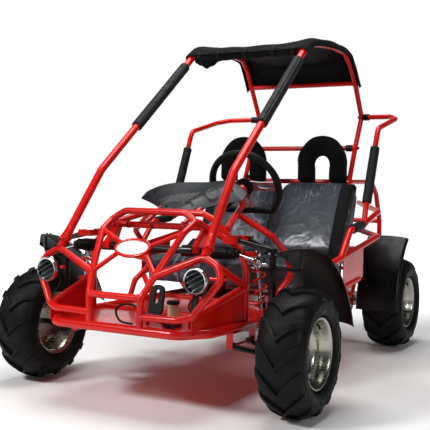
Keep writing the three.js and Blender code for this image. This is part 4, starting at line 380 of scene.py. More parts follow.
class Look:
    """A procedural material, built from noise, waves and cells in object space."""

    def __init__(self, name, rgb, rough, metal=0.0, coat=0.0, sheen=0.0, coat_rough=0.08, specular=0.5):
        self.m = bpy.data.materials.new(name)
        self.m.use_nodes = True
        self.tree = self.m.node_tree
        self.bsdf = self.tree.nodes["Principled BSDF"]
        self.rgb, self.rough = linear(*rgb), rough
        self.set("Base Color", (*self.rgb, 1))
        self.set("Roughness", rough)
        self.set("Metallic", metal)
        self.set("Coat Weight", coat)
        self.set("Coat Roughness", coat_rough)
        self.set("Sheen Weight", sheen)
        self.set("Specular IOR Level", specular)
        self.where = self.node("ShaderNodeTexCoord").outputs["Object"]
        self.height = None

    def set(self, socket, value):
        self.bsdf.inputs[socket].default_value = value

    def node(self, kind, **values):
        made = self.tree.nodes.new(kind)
        for key, value in values.items():
            if hasattr(made, key):
                setattr(made, key, value)
            else:
                made.inputs[key.replace("_", " ")].default_value = value
        return made

    def link(self, a, b):
        self.tree.links.new(a, b)
        return self

    def stretched(self, scale):
        mapping = self.node("ShaderNodeMapping")
        mapping.inputs["Scale"].default_value = scale
        self.link(self.where, mapping.inputs["Vector"])
        return mapping.outputs["Vector"]

    def noise(self, scale, detail=4, roughness=0.55, stretch=None):
        made = self.node("ShaderNodeTexNoise", Scale=scale, Detail=detail, Roughness=roughness)
        self.link(self.stretched(stretch) if stretch else self.where, made.inputs["Vector"])
        return made.outputs["Fac"]

    def cells(self, scale, feature="F1"):
        made = self.node("ShaderNodeTexVoronoi", Scale=scale)
        made.feature = feature
        self.link(self.where, made.inputs["Vector"])
        return made.outputs["Distance"]

    def bands(self, scale, direction, distortion=0.0, stretch=None):
        made = self.node("ShaderNodeTexWave", Scale=scale, Distortion=distortion)
        made.bands_direction = direction
        self.link(self.stretched(stretch) if stretch else self.where, made.inputs["Vector"])
        return made.outputs["Fac"]

    def ramp(self, source, low, high, start=0.0, end=1.0):
        made = self.node("ShaderNodeMapRange")
        made.inputs["From Min"].default_value = start
        made.inputs["From Max"].default_value = end
        made.inputs["To Min"].default_value = low
        made.inputs["To Max"].default_value = high
        self.link(source, made.inputs["Value"])
        return made.outputs["Result"]

    def math(self, kind, a, b):
        made = self.node("ShaderNodeMath")
        made.operation = kind
        for k, value in enumerate((a, b)):
            if isinstance(value, (int, float)):
                made.inputs[k].default_value = value
            else:
                self.link(value, made.inputs[k])
        return made.outputs[0]

    def tint(self, source, rgb, start=0.4, end=0.7):
        """Mixes the base colour towards another where a pattern is high."""
        mix = self.node("ShaderNodeMix")
        mix.data_type = "RGBA"
        socket = self.bsdf.inputs["Base Color"]
        if socket.is_linked:
            self.link(socket.links[0].from_socket, mix.inputs["A"])
        else:
            mix.inputs["A"].default_value = socket.default_value
        mix.inputs["B"].default_value = (*linear(*rgb), 1)
        self.link(self.ramp(source, 0, 1, start, end), mix.inputs["Factor"])
        self.link(mix.outputs["Result"], socket)
        return self

    def uneven(self, source, spread):
        """Roughness that varies with a pattern."""
        self.link(self.ramp(
            source, max(0, self.rough - spread), min(1, self.rough + spread), 0.3, 0.7
        ), self.bsdf.inputs["Roughness"])
        return self

    def bump(self, source, strength, distance=1.0):
        made = self.node("ShaderNodeBump")
        made.inputs["Strength"].default_value = strength
        made.inputs["Distance"].default_value = distance * MM
        self.link(source, made.inputs["Height"])
        if self.height is not None:
            self.link(self.height, made.inputs["Normal"])
        self.height = made.outputs["Normal"]
        self.link(self.height, self.bsdf.inputs["Normal"])
        return self


def paint_look(name, rgb, dark, rough, coat):
    look = Look(name, rgb, rough, coat=coat, coat_rough=0.09, specular=0.2)
    look.tint(look.noise(6, 3), dark, 0.42, 0.9)
    look.uneven(look.noise(40), 0.06)
    look.bump(look.noise(320, 2), 0.05, 0.15)
    look.bump(look.noise(60, 2), 0.06, 0.6)
    return look.m


def plastic_look(name, rgb, light, rough, grain=700, sheen=0.0):
    look = Look(name, rgb, rough, sheen=sheen, specular=0.25)
    look.tint(look.noise(9, 4), light, 0.5, 0.85)
    look.uneven(look.noise(25), 0.1)
    look.bump(look.cells(grain), 0.22, 0.25)
    look.bump(look.noise(30, 3), 0.08, 0.8)
    return look.m


def foam_look(name, rgb, light):
    look = Look(name, rgb, 0.62, sheen=0.02, specular=0.18)
    look.tint(look.noise(120, 3), light, 0.5, 0.8)
    look.uneven(look.noise(30), 0.1)
    look.bump(look.cells(900), 0.16, 0.2)
    look.bump(look.noise(18, 3), 0.12, 1.6)
    return look.m


def cloth_look(name, rgb, light, thread=1400):
    look = Look(name, rgb, 0.9, sheen=0.03, specular=0.1)
    weave = look.math("MULTIPLY", look.bands(thread, "X", 0.6), look.bands(thread, "Y", 0.6))
    look.tint(weave, light, 0.2, 1.0)
    look.tint(look.noise(5, 4), light, 0.55, 0.9)
    look.uneven(look.noise(14), 0.06)
    look.bump(weave, 0.5, 0.3)
    look.bump(look.noise(22, 4), 0.25, 2.5)
    return look.m


def webbing_look(name, rgb, light):
    look = Look(name, rgb, 0.72, sheen=0.03, specular=0.15)
    ribs = look.bands(900, "Z", 0.3)
    look.tint(ribs, light, 0.3, 1.0)
    look.uneven(look.noise(60), 0.08)
    look.bump(ribs, 0.5, 0.5)
    return look.m


def vinyl_look(name, rgb, dark, painted_highlight):
    """Seat vinyl under clear film: fine grain below, creased film above, with light lines painted along its folds as
    highlights.
    """
    look = Look(name, rgb, 0.46, coat=0.3, coat_rough=0.2, specular=0.3)
    look.tint(look.noise(4, 5), dark, 0.40, 0.75)
    for turn, scale, wide, lift in ((0.5, 7, 0.016, 1.7), (-0.6, 10, 0.012, 2.4), (1.3, 16, 0.010, 3.4)):
        mapping = look.node("ShaderNodeMapping")
        mapping.inputs["Rotation"].default_value = (turn, turn * 0.6, turn)
        mapping.inputs["Scale"].default_value = (1.0, 0.22, 0.5)
        look.link(look.where, mapping.inputs["Vector"])
        folds = look.node("ShaderNodeTexNoise", Scale=scale, Detail=3, Roughness=0.5)
        look.link(mapping.outputs["Vector"], folds.inputs["Vector"])
        ridge = look.math("ABSOLUTE", look.math("SUBTRACT", folds.outputs["Fac"], 0.5), 0)
        parts = look.ramp(look.noise(9, 3), 0, 1, 0.45, 0.6)
        # Thin light lines along the fold ridges, tinted into the base colour: painted highlights of the film's folds
        line = look.math("MULTIPLY", look.ramp(ridge, 1, 0, 0, wide), parts)
        look.tint(line, painted_highlight, 0.0, lift)
        look.bump(look.ramp(ridge, 1, 0, 0, wide * 5), 0.3, 1.4)
    look.uneven(look.noise(30), 0.12)
    look.bump(look.cells(500), 0.12, 0.2)
    return look.m


def tyre_look(name, rgb, dust):
    look = Look(name, rgb, 0.56, specular=0.16)
    look.tint(look.noise(18, 5), dust, 0.5, 1.1)
    look.uneven(look.noise(35), 0.12)
    look.bump(look.noise(260, 4), 0.3, 0.4)
    look.bump(look.noise(24, 3), 0.12, 1.5)
    return look.m


def metal_look(name, rgb, rough, brushed=0.0, dirt=(60, 58, 55), axis=(1, 1, 1)):
    look = Look(name, rgb, rough, metal=1.0)
    look.tint(look.noise(12, 5), dirt, 0.62, 1.2)
    look.uneven(look.noise(50, 4, 0.6, axis), 0.09)
    look.bump(look.noise(300, 2, 0.5, axis), 0.03 + brushed * 0.5, 0.2)
    return look.m


RED = paint_look("red_paint", (212, 16, 8), (160, 8, 5), 0.34, 0.35)
DARK_RED = paint_look("red_spring", (214, 22, 14), (160, 10, 8), 0.36, 0.3)
BLACK_PAINT = paint_look("black_paint", (10, 10, 11), (20, 20, 22), 0.36, 0.3)
BLACK_PLASTIC = plastic_look("black_plastic", (9, 9, 10), (19, 20, 21), 0.44)
FENDER = plastic_look("fender_plastic", (7, 7, 8), (15, 15, 16), 0.36, 420)
COWL = plastic_look("cowl_plastic", (36, 38, 40), (52, 54, 56), 0.4, 520)
GRIP = foam_look("wheel_grip", (7, 7, 8), (16, 16, 18))
FOAM = foam_look("pad_foam", (20, 22, 22), (38, 40, 41))
CLOTH = cloth_look("canopy_cloth", (8, 8, 9), (19, 19, 22))
HEAD_CLOTH = cloth_look("headrest_cloth", (6, 6, 8), (15, 15, 19), 1700)
WEBBING = webbing_look("belt_webbing", (10, 10, 11), (28, 28, 30))
# The last colour is tinted along the film's folds as a painted highlight
VINYL = vinyl_look("seat_vinyl", (58, 63, 72), (34, 38, 46), (160, 170, 184))
RUBBER = tyre_look("tyre_rubber", (9, 9, 9), (24, 24, 22))
BOOT = plastic_look("boot_rubber", (9, 9, 10), (18, 18, 19), 0.5, 500)
CHROME = metal_look("polished_metal", (222, 224, 226), 0.14)
RIM = metal_look("rim_metal", (172, 170, 160), 0.27, 0.06, (96, 92, 82), (0.2, 3, 3))
STEEL = metal_look("machined_steel", (150, 152, 156), 0.34, 0.05)
CASTING = metal_look("cast_grey", (96, 99, 102), 0.52, 0.2, (40, 40, 42))
WHITE = plastic_look("badge_white", (238, 238, 236), (226, 226, 224), 0.3, 300)
CREAM = plastic_look("reservoir_cream", (214, 196, 160), (190, 168, 130), 0.35, 300)
LENS_BLACK = plastic_look("lens_black", (8, 8, 9), (18, 18, 20), 0.22, 300)


# ---------------------------------------------------------------- frame tubes
# Places of the frame, as shares of the frame's half width, of the wheelbase behind the front axle
# and of the cage top.
PLACES = {
    "noseMid": (0, -0.2, 0.202), "noseCorner": (0.75, -0.2, 0.202), "railBend": (0.96, -0.135, 0.202),
    "railFront": (1, -0.005, 0.202), "railRear": (1, 0.745, 0.202), "railEnd": (0.847, 0.812, 0.202),
    "crossFront": (1, 0.062, 0.202), "crossSeat": (1, 0.36, 0.202), "crossBack": (1, 0.57, 0.202),
    "postFoot": (0.31, -0.2, 0.202), "postLoop": (0.31, -0.2, 0.234), "postTop": (0.32, -0.2, 0.278),
    "xJoint": (0.393, -0.168, 0.328), "xMid": (0.517, -0.092, 0.428), "shoulder": (0.54, -0.044, 0.454),
    "hoodCorner": (0.383, -0.041, 0.475), "pillarFoot": (0.907, -0.146, 0.378),
    "loopTop": (1.06, -0.151, 0.36),
    "loopOut": (1.143, -0.161, 0.331), "loopLow": (0.873, -0.187, 0.242), "loopIn": (0.75, -0.2, 0.236),
    "panelRear": (1.003, 0.018, 0.296), "towerFoot": (1, 0.02, 0.202), "towerMid": (1, 0.018, 0.338),
    "towerBend": (0.96, 0.01, 0.382), "towerTop": (0.633, 0.002, 0.459), "towerMidTop": (0.5, 0.002, 0.473),
    "lowCross": (0.573, -0.005, 0.438), "lowRailInner": (0.66, -0.005, 0.428),
    "lowRailOuter": (0.87, 0.005, 0.403), "columnFoot": (0.783, 0.008, 0.435),
    "columnEnd": (0.45, 0.233, 0.49),
    "kneeStart": (0.577, 0.149, 0.471), "kneeBend": (0.95, 0.19, 0.412), "kneeSide": (1, 0.258, 0.362),
    "kneeBack": (1, 0.291, 0.303), "kneeLow": (1, 0.211, 0.264), "kneeFoot": (1, 0.18, 0.202),
    "cowlFoot": (0.25, -0.003, 0.44), "cowlTop": (0.27, 0.12, 0.5), "pillarBend": (0.867, 0.003, 0.582),
    "pillarTop": (0.82, 0.446, 0.958), "canopyFront": (0.82, 0.437, 0.951), "roofFront": (0.82, 0.486, 0.981),
    "roofMid": (0.82, 0.644, 1), "roofRear": (0.82, 0.774, 0.996), "roofDrop": (0.833, 0.818, 0.965),
    "hoopHigh": (0.847, 0.861, 0.908), "hoopBow": (0.847, 0.933, 0.798), "hoopLow": (0.847, 0.875, 0.687),
    "hoopFoot": (0.847, 0.823, 0.57), "postLow": (0.847, 0.813, 0.231), "postSeat": (0.847, 0.818, 0.4),
    "topRailRear": (0.847, 1.056, 0.575), "tailHigh": (0.847, 1.11, 0.531),
    "lowRailRear": (0.847, 1.07, 0.285),
    "lowRailFront": (0.847, 0.895, 0.265), "flankNose": (1, 0.27, 0.322), "flankFront": (1.41, 0.29, 0.333),
    "flankMid": (1.457, 0.33, 0.34), "flankRear": (1.457, 0.706, 0.397), "flankIn": (0.847, 0.882, 0.413),
    "flankLowFront": (1.457, 0.4, 0.265), "flankLowRear": (1.457, 0.564, 0.282),
    "downFoot": (1, 0.507, 0.202),
    "flankLowNose": (1, 0.31, 0.202), "armFoot": (1.457, 0.387, 0.348), "armTop": (1.457, 0.456, 0.425),
    "armRear": (1.457, 0.575, 0.44), "barSocket": (1.457, 0.583, 0.477), "barBend": (1.457, 0.673, 0.704),
    "barHigh": (1.457, 0.689, 0.738), "barOut": (1.457, 0.865, 0.783), "barIn": (1.333, 0.904, 0.795),
    "barHoop": (0.847, 0.932, 0.798), "loopRear": (1.457, 0.709, 0.476), "loopEnd": (0.847, 0.925, 0.5),
}


def place(name):
    if not isinstance(name, str):
        return np.asarray(name, float)
    x, y, z = PLACES[name.rstrip("*")]
    p = V(x * FRAME_HALF, FRONT_AXLE_Y + y * WHEELBASE, z * CAGE_TOP)
    return flip(p) if name.endswith("*") else p


def run(names, radius):
    return [place(n) for n in names], radius


def across(names, radius):
    return run(list(names) + [n + "*" for n in reversed(names)], radius)


def both(names, radius):
    path, _ = run(names, radius)
    return [(path, radius), ([flip(p) for p in path], radius)]


TAIL_Y = 1905 / 2 - HOOP
HOOP_X = place("hoopFoot")[0]
TAIL_MID, TAIL_LOW = V(HOOP_X, TAIL_Y, 0.431 * CAGE_TOP), V(HOOP_X, TAIL_Y, 0.323 * CAGE_TOP)
WHEEL_AT, PINION = V(135, -315, 710), V(135, FRONT_AXLE_Y - 62, 496)
COLUMN = unit(WHEEL_AT - PINION)
BEARING = WHEEL_AT - COLUMN * 40
RECLINE = math.radians(25)
BACK = np.array(Matrix.Translation((0, 163, 428)) @ Matrix.Rotation(math.pi / 2 - RECLINE, 4, "X"))


def on_back(x, y, z):
    return BACK[:3, :3] @ V(x, y, z) + BACK[:3, 3]


FLOOR_TUBES = [
    across(["railEnd", "railRear", "railFront", "railBend", "noseCorner"], RAIL),
    across(["crossFront"], HOOP), across(["crossSeat"], HOOP), across(["crossBack"], HOOP),
]
LAMP_LOOP = ["xJoint", "pillarFoot", "loopTop", "loopOut", "loopLow", "loopIn", "postLoop"]
LAMP_X, LAMP_Y, LAMP_Z = 276, FRONT_AXLE_Y - 225, 425
LAMP_R, LAMP_DEPTH = 40, 46
TAB_Y = LAMP_Y + LAMP_DEPTH + 5
NOSE_TUBES = [
    across(["postFoot", "postLoop", "postTop", "xJoint", "xMid", "shoulder", "hoodCorner"], HOOP),
    across(["postTop"], HOOP),
    *both(LAMP_LOOP, HOOP), *both(["loopLow", "panelRear"], HOOP), *both(["pillarFoot", "panelRear"], HOOP),
    across(["towerFoot", "towerMid", "towerBend", "towerTop", "towerMidTop"], HOOP),
    across(["lowRailOuter", "lowRailInner", "lowCross"], HOOP),
    *both(["shoulder", "lowRailInner"], HOOP), *both(["cowlFoot", "cowlTop"], HOOP - 2),
    run(["columnFoot", "kneeStart", "columnEnd"], HOOP), run(["columnFoot*", "kneeStart*"], HOOP),
    *both(["kneeStart", "kneeBend", "kneeSide", "kneeBack", "kneeLow", "kneeFoot"], HOOP),
    run(["columnEnd", BEARING], HOOP),
]
STUB_END = place("pillarFoot") + unit(place("pillarBend") - place("pillarFoot")) * 26
NOSE_ROUNDS = [
    *both(["pillarFoot", STUB_END], PILLAR),
    *both(["loopOut", V(place("loopOut")[0] - HOOP, TAB_Y, LAMP_Z), V(LAMP_X, TAB_Y, LAMP_Z)], 5.5),
    ([BEARING - COLUMN * 12, BEARING + COLUMN * 12], 19),
]
PILLAR_FOOT = place("pillarFoot") + unit(place("pillarBend") - place("pillarFoot")) * 26.3
HOOP_TUBES = both([
    "roofFront", "roofMid", "roofRear", "roofDrop", "hoopHigh", "hoopBow", "hoopLow", "hoopFoot"
], HOOP)
CAGE_TUBES = [
    *both([PILLAR_FOOT, "pillarBend", "pillarTop", "roofFront", "roofMid"], PILLAR), *HOOP_TUBES,
    across(["canopyFront"], HOOP), across(["hoopHigh"], HOOP - 1), across(["hoopLow"], HOOP),
]
STAY_OUT = 78 + HOOP - 1 + 0.3
STAY = [
    V(170, *place("postLow")[1:]), on_back(170, HOOP, -STAY_OUT), on_back(170, 245, -STAY_OUT),
    V(170, *place("hoopFoot")[1:]),
]
REAR_TUBES = [
    *both(["railEnd", "postLow", "postSeat", "hoopFoot"], HOOP),
    *both(
        ["hoopFoot", "topRailRear", "tailHigh", TAIL_MID, TAIL_LOW, "lowRailRear", "lowRailFront", "postLow"],
        HOOP
    ),
    across(["hoopFoot"], HOOP), across(["postLow"], HOOP),
    ([TAIL_MID, flip(TAIL_MID)], HOOP), ([TAIL_LOW, flip(TAIL_LOW)], HOOP), *both(STAY, HOOP - 1),
]
SIDE_TUBES = [
    run(["flankNose", "flankFront", "flankMid", "flankRear", "flankIn"], SIDE),
    run(["flankLowNose", "flankLowFront", "flankLowRear", "downFoot"], SIDE),
    run(["armFoot", "armTop", "armRear"], SIDE), run(["armRear", "loopRear", "loopEnd"], SIDE - 1),
    run(["armRear", "barSocket", "barBend", "barHigh", "barOut", "barIn", "barHoop"], SIDE - 1),
]


def gap_to(p, tubes, skip):
    """How far a point lies from the axis of the nearest other tube, and that tube's radius."""
    best = (1e9, 0)
    for k, (path, radius) in enumerate(tubes):
        if k == skip:
            continue
        for a, b in zip(path[:-1], path[1:]):
            d = b - a
            t = min(1, max(0, float((p - a) @ d) / float(d @ d)))
            best = min(best, (float(np.linalg.norm(a + d * t - p)), radius))
    return best


def bead(centre, direction, radius):
    """A weld bead: a low, rippled ring where a tube meets another."""
    around, section = 30, 6
    _, n, b = frames_along([centre, centre + direction])[0]
    verts, faces = [], []
    for i in range(around):
        angle = 2 * math.pi * i / around
        out = n * math.cos(angle) + b * math.sin(angle)
        size = 2.3 + 0.5 * math.cos(angle * 15)
        for k in range(section):
            t = 2 * math.pi * k / section
            verts.append(centre + out * (
                radius + 0.2 + size * 0.7 * math.cos(t)
            ) + direction * size * 1.3 * math.sin(t))
    for i in range(around):
        for k in range(section):
            a, c = i * section, ((i + 1) % around) * section
            faces.append((a + k, a + (k + 1) % section, c + (k + 1) % section, c + k))
    return verts, faces


def welded(tubes, rounds=()):
    """Tubes bent smoothly, with weld beads where an end meets another tube."""
    geo = Geo()
    for k, (path, radius) in enumerate(tubes):
        geo.add(tube(path, radius, 20))
        for here, ahead in ((path[0], path[1]), (path[-1], path[-2])):
            distance, other = gap_to(here, tubes, k)
            step = unit(ahead - here)
            if distance < other + 2 and np.linalg.norm(ahead - here) > other + 8:
                geo.add(bead(here + step * (other * 1.02), step, radius))
    for path, radius in rounds:
        geo.add(tube(path, radius, 24))
    return geo


def frame_piece(name, node, tubes, rounds=(), body="chassis", look=RED, slot="red_paint"):
    geo = welded(tubes, rounds)
    points, faces = off_tubes(node, list(tubes) + [(p, r) for p, r in rounds])
    if len(points):
        geo.add((points, faces))
    return piece(name, geo, look, body, slot, [node], sharp=35)


def mirrored_runs(tubes):
    return [([flip(p) for p in path], radius) for path, radius in tubes]


def build_frame():
    frame_piece("floor_rails", "floor_frame", FLOOR_TUBES)
    frame_piece("nose_tubes", "nose_frame", NOSE_TUBES, NOSE_ROUNDS)
    frame_piece("cage_tubes", "roll_cage", CAGE_TUBES)
    frame_piece("rear_tubes", "rear_frame", REAR_TUBES)
    frame_piece("side_tubes_left", "side_frame_left", SIDE_TUBES)
    frame_piece("side_tubes_right", "side_frame_right", mirrored_runs(SIDE_TUBES))
    # Flared feet of the pillars, over their stubs
    lean = unit(place("pillarBend") - place("pillarFoot"))
    for side, label in BOTH:
        turn = basis(PILLAR_FOOT, *np.array(frames_along([V(0, 0, 0), lean])[0])[[1, 2, 0]])
        profile = [(19, -0.3), (19.6, 2), (19, 6), (17.5, 20), (15.6, 38), (14.3, 52), (13.8, 54)]
        flare = placed(turned(profile, sides=32), turn)
        geo = Geo().add(flare)
        piece(
            "pillar_foot_" + label, geo if side > 0 else geo.mirrored(), RED, "chassis", "red_paint",
            sharp=60
        )


build_frame()


# ---------------------------------------------------------------- wheels
RIM_SEAT, RIM_FLANGE, TYRE_R, TREAD = 101.8, 113, 203, 11
CHEVRONS = 14


def casing(half):
    """The tyre's outer section, from one bead over the crown to the other, as (radius, along)."""
    seat = half * 0.72
    side = [
        (RIM_SEAT + 1, seat - 6), (RIM_SEAT + 1.5, seat), (RIM_FLANGE + 1.5, seat + 1),
        (RIM_FLANGE + 7, half * 0.9),
        (128, half * 0.97), (146, half * 0.995), (162, half * 0.96), (174, half * 0.86), (184, half * 0.66),
        (189.5, half * 0.38), (192, 0),
    ]
    return side + [(r, -a) for r, a in reversed(side[:-1])]


def casing_radius(share):
    """The casing's radius at a share of the half width, over the tread."""
    table = [(0, 192), (0.38, 189.5), (0.66, 184), (0.86, 174), (0.96, 162), (0.995, 150)]
    return float(np.interp(share, [a for a, _ in table], [r for _, r in table]))


def lug(half, start, side):
    """One arm of a chevron: from the crown, over the shoulder and on to the side wall."""
    lead, steps = -0.34, 12
    verts, faces = [], []
    for j in range(steps + 1):
        t = j / steps
        share = 0.93 * t
        radius = casing_radius(share)
        height = TREAD * (1.0 - 0.25 * t) * (1 if t < 0.85 else 1 - (t - 0.85) / 0.15 * 0.55)
        centre = start + lead * t**0.85 * (1 + 0.1 * math.sin(3 * t))
        wide = math.radians(2.3 + 2.5 * t)
        lean = max(0.0, (share - 0.5) / 0.5) * 0.75
        top = min(TYRE_R, radius + height * (1 - lean * 0.4))
        along = side * half * share
        out = side * min(half * 0.998, half * share + height * lean)
        rows = [(radius - 3, along, -wide * 1.12), (top - 1.6, out, -wide * 0.95), (top, out, -wide * 0.72),
                (top, out, wide * 0.72), (top - 1.6, out, wide * 0.95), (radius - 3, along, wide * 1.12)]
        for r, a, swing in rows:
            verts.append((r, a, centre + swing))
    for j in range(steps):
        for k in range(5):
            a = j * 6 + k
            faces.append((a, a + 1, a + 7, a + 6))
    faces.append(tuple(range(6)))
    faces.append(tuple(range(steps * 6, steps * 6 + 6)))
    return [(a, r * math.cos(g), r * math.sin(g)) for r, a, g in verts], faces


def tyre_geo(width, centre):
    half = width / 2
    profile = casing(half)
    inside = [(
        RIM_SEAT + 1, -half * 0.72 + 14
    ), (178, -half * 0.7), (178, half * 0.7), (RIM_SEAT + 1, half * 0.72 - 14)]
    geo = Geo().add(turned(profile + inside, "x", 112, closed=True))
    for i in range(CHEVRONS):
        for side in (1, -1):
            geo.add(lug(half, 2 * math.pi * i / CHEVRONS + 0.12, side))
    for side in (1, -1):
        for radius, share, size in ((153, 0.985, 1.4), (137, 0.985, 1.0)):
            raised = [(radius + size * 1.6 * math.cos(t), side * half * (share) + size * math.sin(t))
                      for t in (2 * math.pi * k / 8 for k in range(8))]
            geo.add(turned(raised, "x", 96, closed=True))
    geo.points = (np.array(geo.points) + np.array(centre, float)).tolist()
    return geo


def rim_geo(half, side, centre, web_share=0.1):
    """A rolled rim: outer lip, stepped barrel, a dished web and the inner barrel."""
    seat, web, wall = half - 7, half * web_share, 3.2
    barrel = RIM_SEAT - 2.5 * wall
    outside = [
        (RIM_FLANGE - 1, half - 3), (RIM_FLANGE - 3.5, half), (RIM_FLANGE - 7, half - 0.6),
        (RIM_FLANGE - 11, half - 4),
        (RIM_FLANGE - 13, half - 11), (barrel + 1, seat - 13), (barrel - 1, seat - 20),
        (barrel - 5, seat - 24),
        (barrel - 6, web + 18), (barrel - 9, web + 9), (barrel - 18, web + 1), (barrel - 26, web - 2),
        (58, web - 4),
        (52, web - 8), (46, web - 8),
    ]
    outside += [(40, web - 4), (0, web - 4)]
    inside = [
        (0, web - 9), (46, web - 13), (60, web - 10), (barrel - 22, web - 6), (barrel - 10, web - 2),
        (barrel, -seat + 12), (RIM_FLANGE - 6, -half + 1), (RIM_FLANGE - 2, -half), (
            RIM_FLANGE - 0.5, -half + 2.5
        ),
        (RIM_FLANGE - 0.5, -seat), (RIM_SEAT - 0.3, -seat), (RIM_SEAT - 0.3, seat), (RIM_FLANGE - 0.5, seat),
    ]
    profile = outside + inside
    made = turned([(r, side * a) for r, a in profile + [profile[0]]], "x", 72, centre)
    return Geo().add(made)


def bolt(centre, direction, radius=8, height=7, sides=6):
    """A hex nut with a domed washer under it."""
    centre, step = np.asarray(centre, float), unit(np.asarray(direction, float))
    geo = Geo().add(bar(centre, centre + step * 1.6, radius * 1.35, 20))
    geo.add(bar(centre + step * 1.4, centre + step * (1.4 + height), radius, sides, chamfer=radius * 0.12))
    geo.add(bar(centre + step * height, centre + step * (height + 4.5), radius * 0.52, 14, chamfer=0.8))
    return geo


def build_wheels():
    for side, label in BOTH:
        front, rear = V(side * FRONT_TRACK, FRONT_AXLE_Y, AXLE_Z), V(side * REAR_TRACK, REAR_AXLE_Y, AXLE_Z)
        for kind, centre, width, half, body in (
            ("front", front, 155, 65, "front_wheel_" + label), ("rear", rear, 178, 75, "rear_wheels")
        ):
            name = f"{kind}_tyre_{label}"
            piece(name + "_tread", tyre_geo(width, centre), RUBBER, body, "tyre_rubber", [name], sharp=32)
            name = f"{kind}_rim_{label}"
            piece(name + "_rolled", rim_geo(half, side, centre), RIM, body, "polished", [name], sharp=50)
            web = half * 0.1 - 4
            for k in range(4):
                angle = math.pi / 4 + k * math.pi / 2
                at = centre + V(side * web, 32 * math.cos(angle), 32 * math.sin(angle))
                piece(f"{kind}_nut_{label}_{k}", bolt(at, (side, 0, 0)), STEEL, body, "steel", sharp=30)
            hub = [
                (0, web + 26), (12, web + 26), (15, web + 23), (17, web + 14), (23, web + 13),
                (25, web + 10), (25.5, web - 1)
            ]
            if kind == "rear":
                hub = [
                    (0, web + 17), (11, web + 17), (13, web + 14), (19, web + 13), (20, web + 10),
                    (20.5, web - 1)
                ]
            drum = turned([(r, side * a) for r, a in hub], "x", 40, centre)
            piece(f"{kind}_hub_{label}", drum, BLACK_PAINT, body, "black_paint", sharp=40)
            stem = tube([
                centre + V(side * (half - 16), 0, 92), centre + V(side * (half - 4), 0, 84),
                centre + V(side * (half - 1), 0, 74)
            ], 3, 10)
            piece(f"{kind}_valve_{label}", stem, BLACK_PLASTIC, body, "black_plastic")


# ---------------------------------------------------------------- suspension and drive
def coil_points(radius, low, runs, axis_frame, per_turn=28):
    """A helix along local Z: runs are (turns, pitch) in order, with flat closed ends."""
    points, z, angle = [], low, 0.0
    for turns, pitch in runs:
        count = max(2, int(turns * per_turn))
        for _ in range(count):
            points.append((radius * math.cos(angle), radius * math.sin(angle), z))
            angle += 2 * math.pi * turns / count
            z += pitch * turns / count
    points.append((radius * math.cos(angle), radius * math.sin(angle), z))
    return placed((points, []), axis_frame)[0], z


def shock_frame(low, high, pin):
    """Local Z runs from the lower eye to the upper one, local Y along the pins."""
    z = unit(high - low)
    y = unit(pin - z * float(pin @ z))
    return basis(low, np.cross(y, z), y, z)


def build_shock(tag, body, rod_body, low, high, pin, sizes):
    length = float(np.linalg.norm(high - low))
    at = shock_frame(low, high, pin)
    seat, coil_r, body_r, rod_r, top, spring_top = (
        sizes[k] for k in ("seat", "coil", "body", "rod", "top", "spring_top")
    )

    def eye(z):
        ring_profile = [(6, -8), (9.6, -8), (10.6, -7), (10.8, 0), (10.6, 7), (9.6, 8), (6, 8)]
        turn = basis((0, 0, z), V(1, 0, 0), V(0, 0, 1), V(0, -1, 0))
        return placed(turned(ring_profile, sides=28, closed=True), at @ turn)

    lower = [(0, 5), (7, 6), (8, 9), (body_r * 0.9, 13), (body_r, 15), (body_r, seat), (coil_r + 3, seat + 0.5),
             (coil_r + 3.6, seat + 2), (coil_r + 3.6, seat + 5), (coil_r + 2, seat + 6), (body_r + 1, seat + 6)]
    ribs = []
    for k in range(4):
        z = seat + 10 + k * 5
        ribs += [(body_r + 0.2, z), (body_r + 1.2, z + 1), (body_r + 1.2, z + 2.4), (body_r + 0.2, z + 3.4)]
    lower += ribs + [
        (body_r, seat + 32), (body_r, top - 6), (body_r - 1.5, top - 1), (body_r - 3, top),
        (rod_r + 1, top), (rod_r + 1, top - 8)
    ]
    geo = Geo().add(placed(turned(lower, sides=40), at)).add(eye(0))
    piece(tag + "_cylinder", geo, CHROME, body, "polished", [sizes["nodes"][0]], sharp=40)
    upper = [(0, top - 26), (rod_r, top - 25), (rod_r, spring_top), (coil_r - 6, spring_top), (coil_r + 2, spring_top + 0.4),
             (coil_r + 3.4, spring_top + 2), (coil_r + 3.4, spring_top + 5), (coil_r, spring_top + 7),
             (rod_r + 7, spring_top + 9),
             (rod_r + 6, length - 14), (rod_r + 3, length - 9), (0, length - 8)]
    geo = Geo().add(placed(turned(upper, sides=40), at)).add(eye(length))
    piece(tag + "_piston", geo, CHROME, rod_body, "polished", [sizes["nodes"][1]], sharp=40)
    wire = sizes["wire"]
    free = spring_top - (seat + 6) - 2 * wire
    close, open_turns = sizes["turns"]
    tight = sizes["pitch"]
    loose = (free - close * tight - 1.5 * 2 * wire * 0.9) / open_turns
    points, _ = coil_points(coil_r, seat + 6 + wire, [
        (0.75, 2 * wire * 0.9), (close, tight), (open_turns, loose), (0.75, 2 * wire * 0.9)
    ], at)
    piece(tag + "_coil", sweep(points, ring(wire, 10)), DARK_RED, body, "red_paint", [sizes["nodes"][2]])


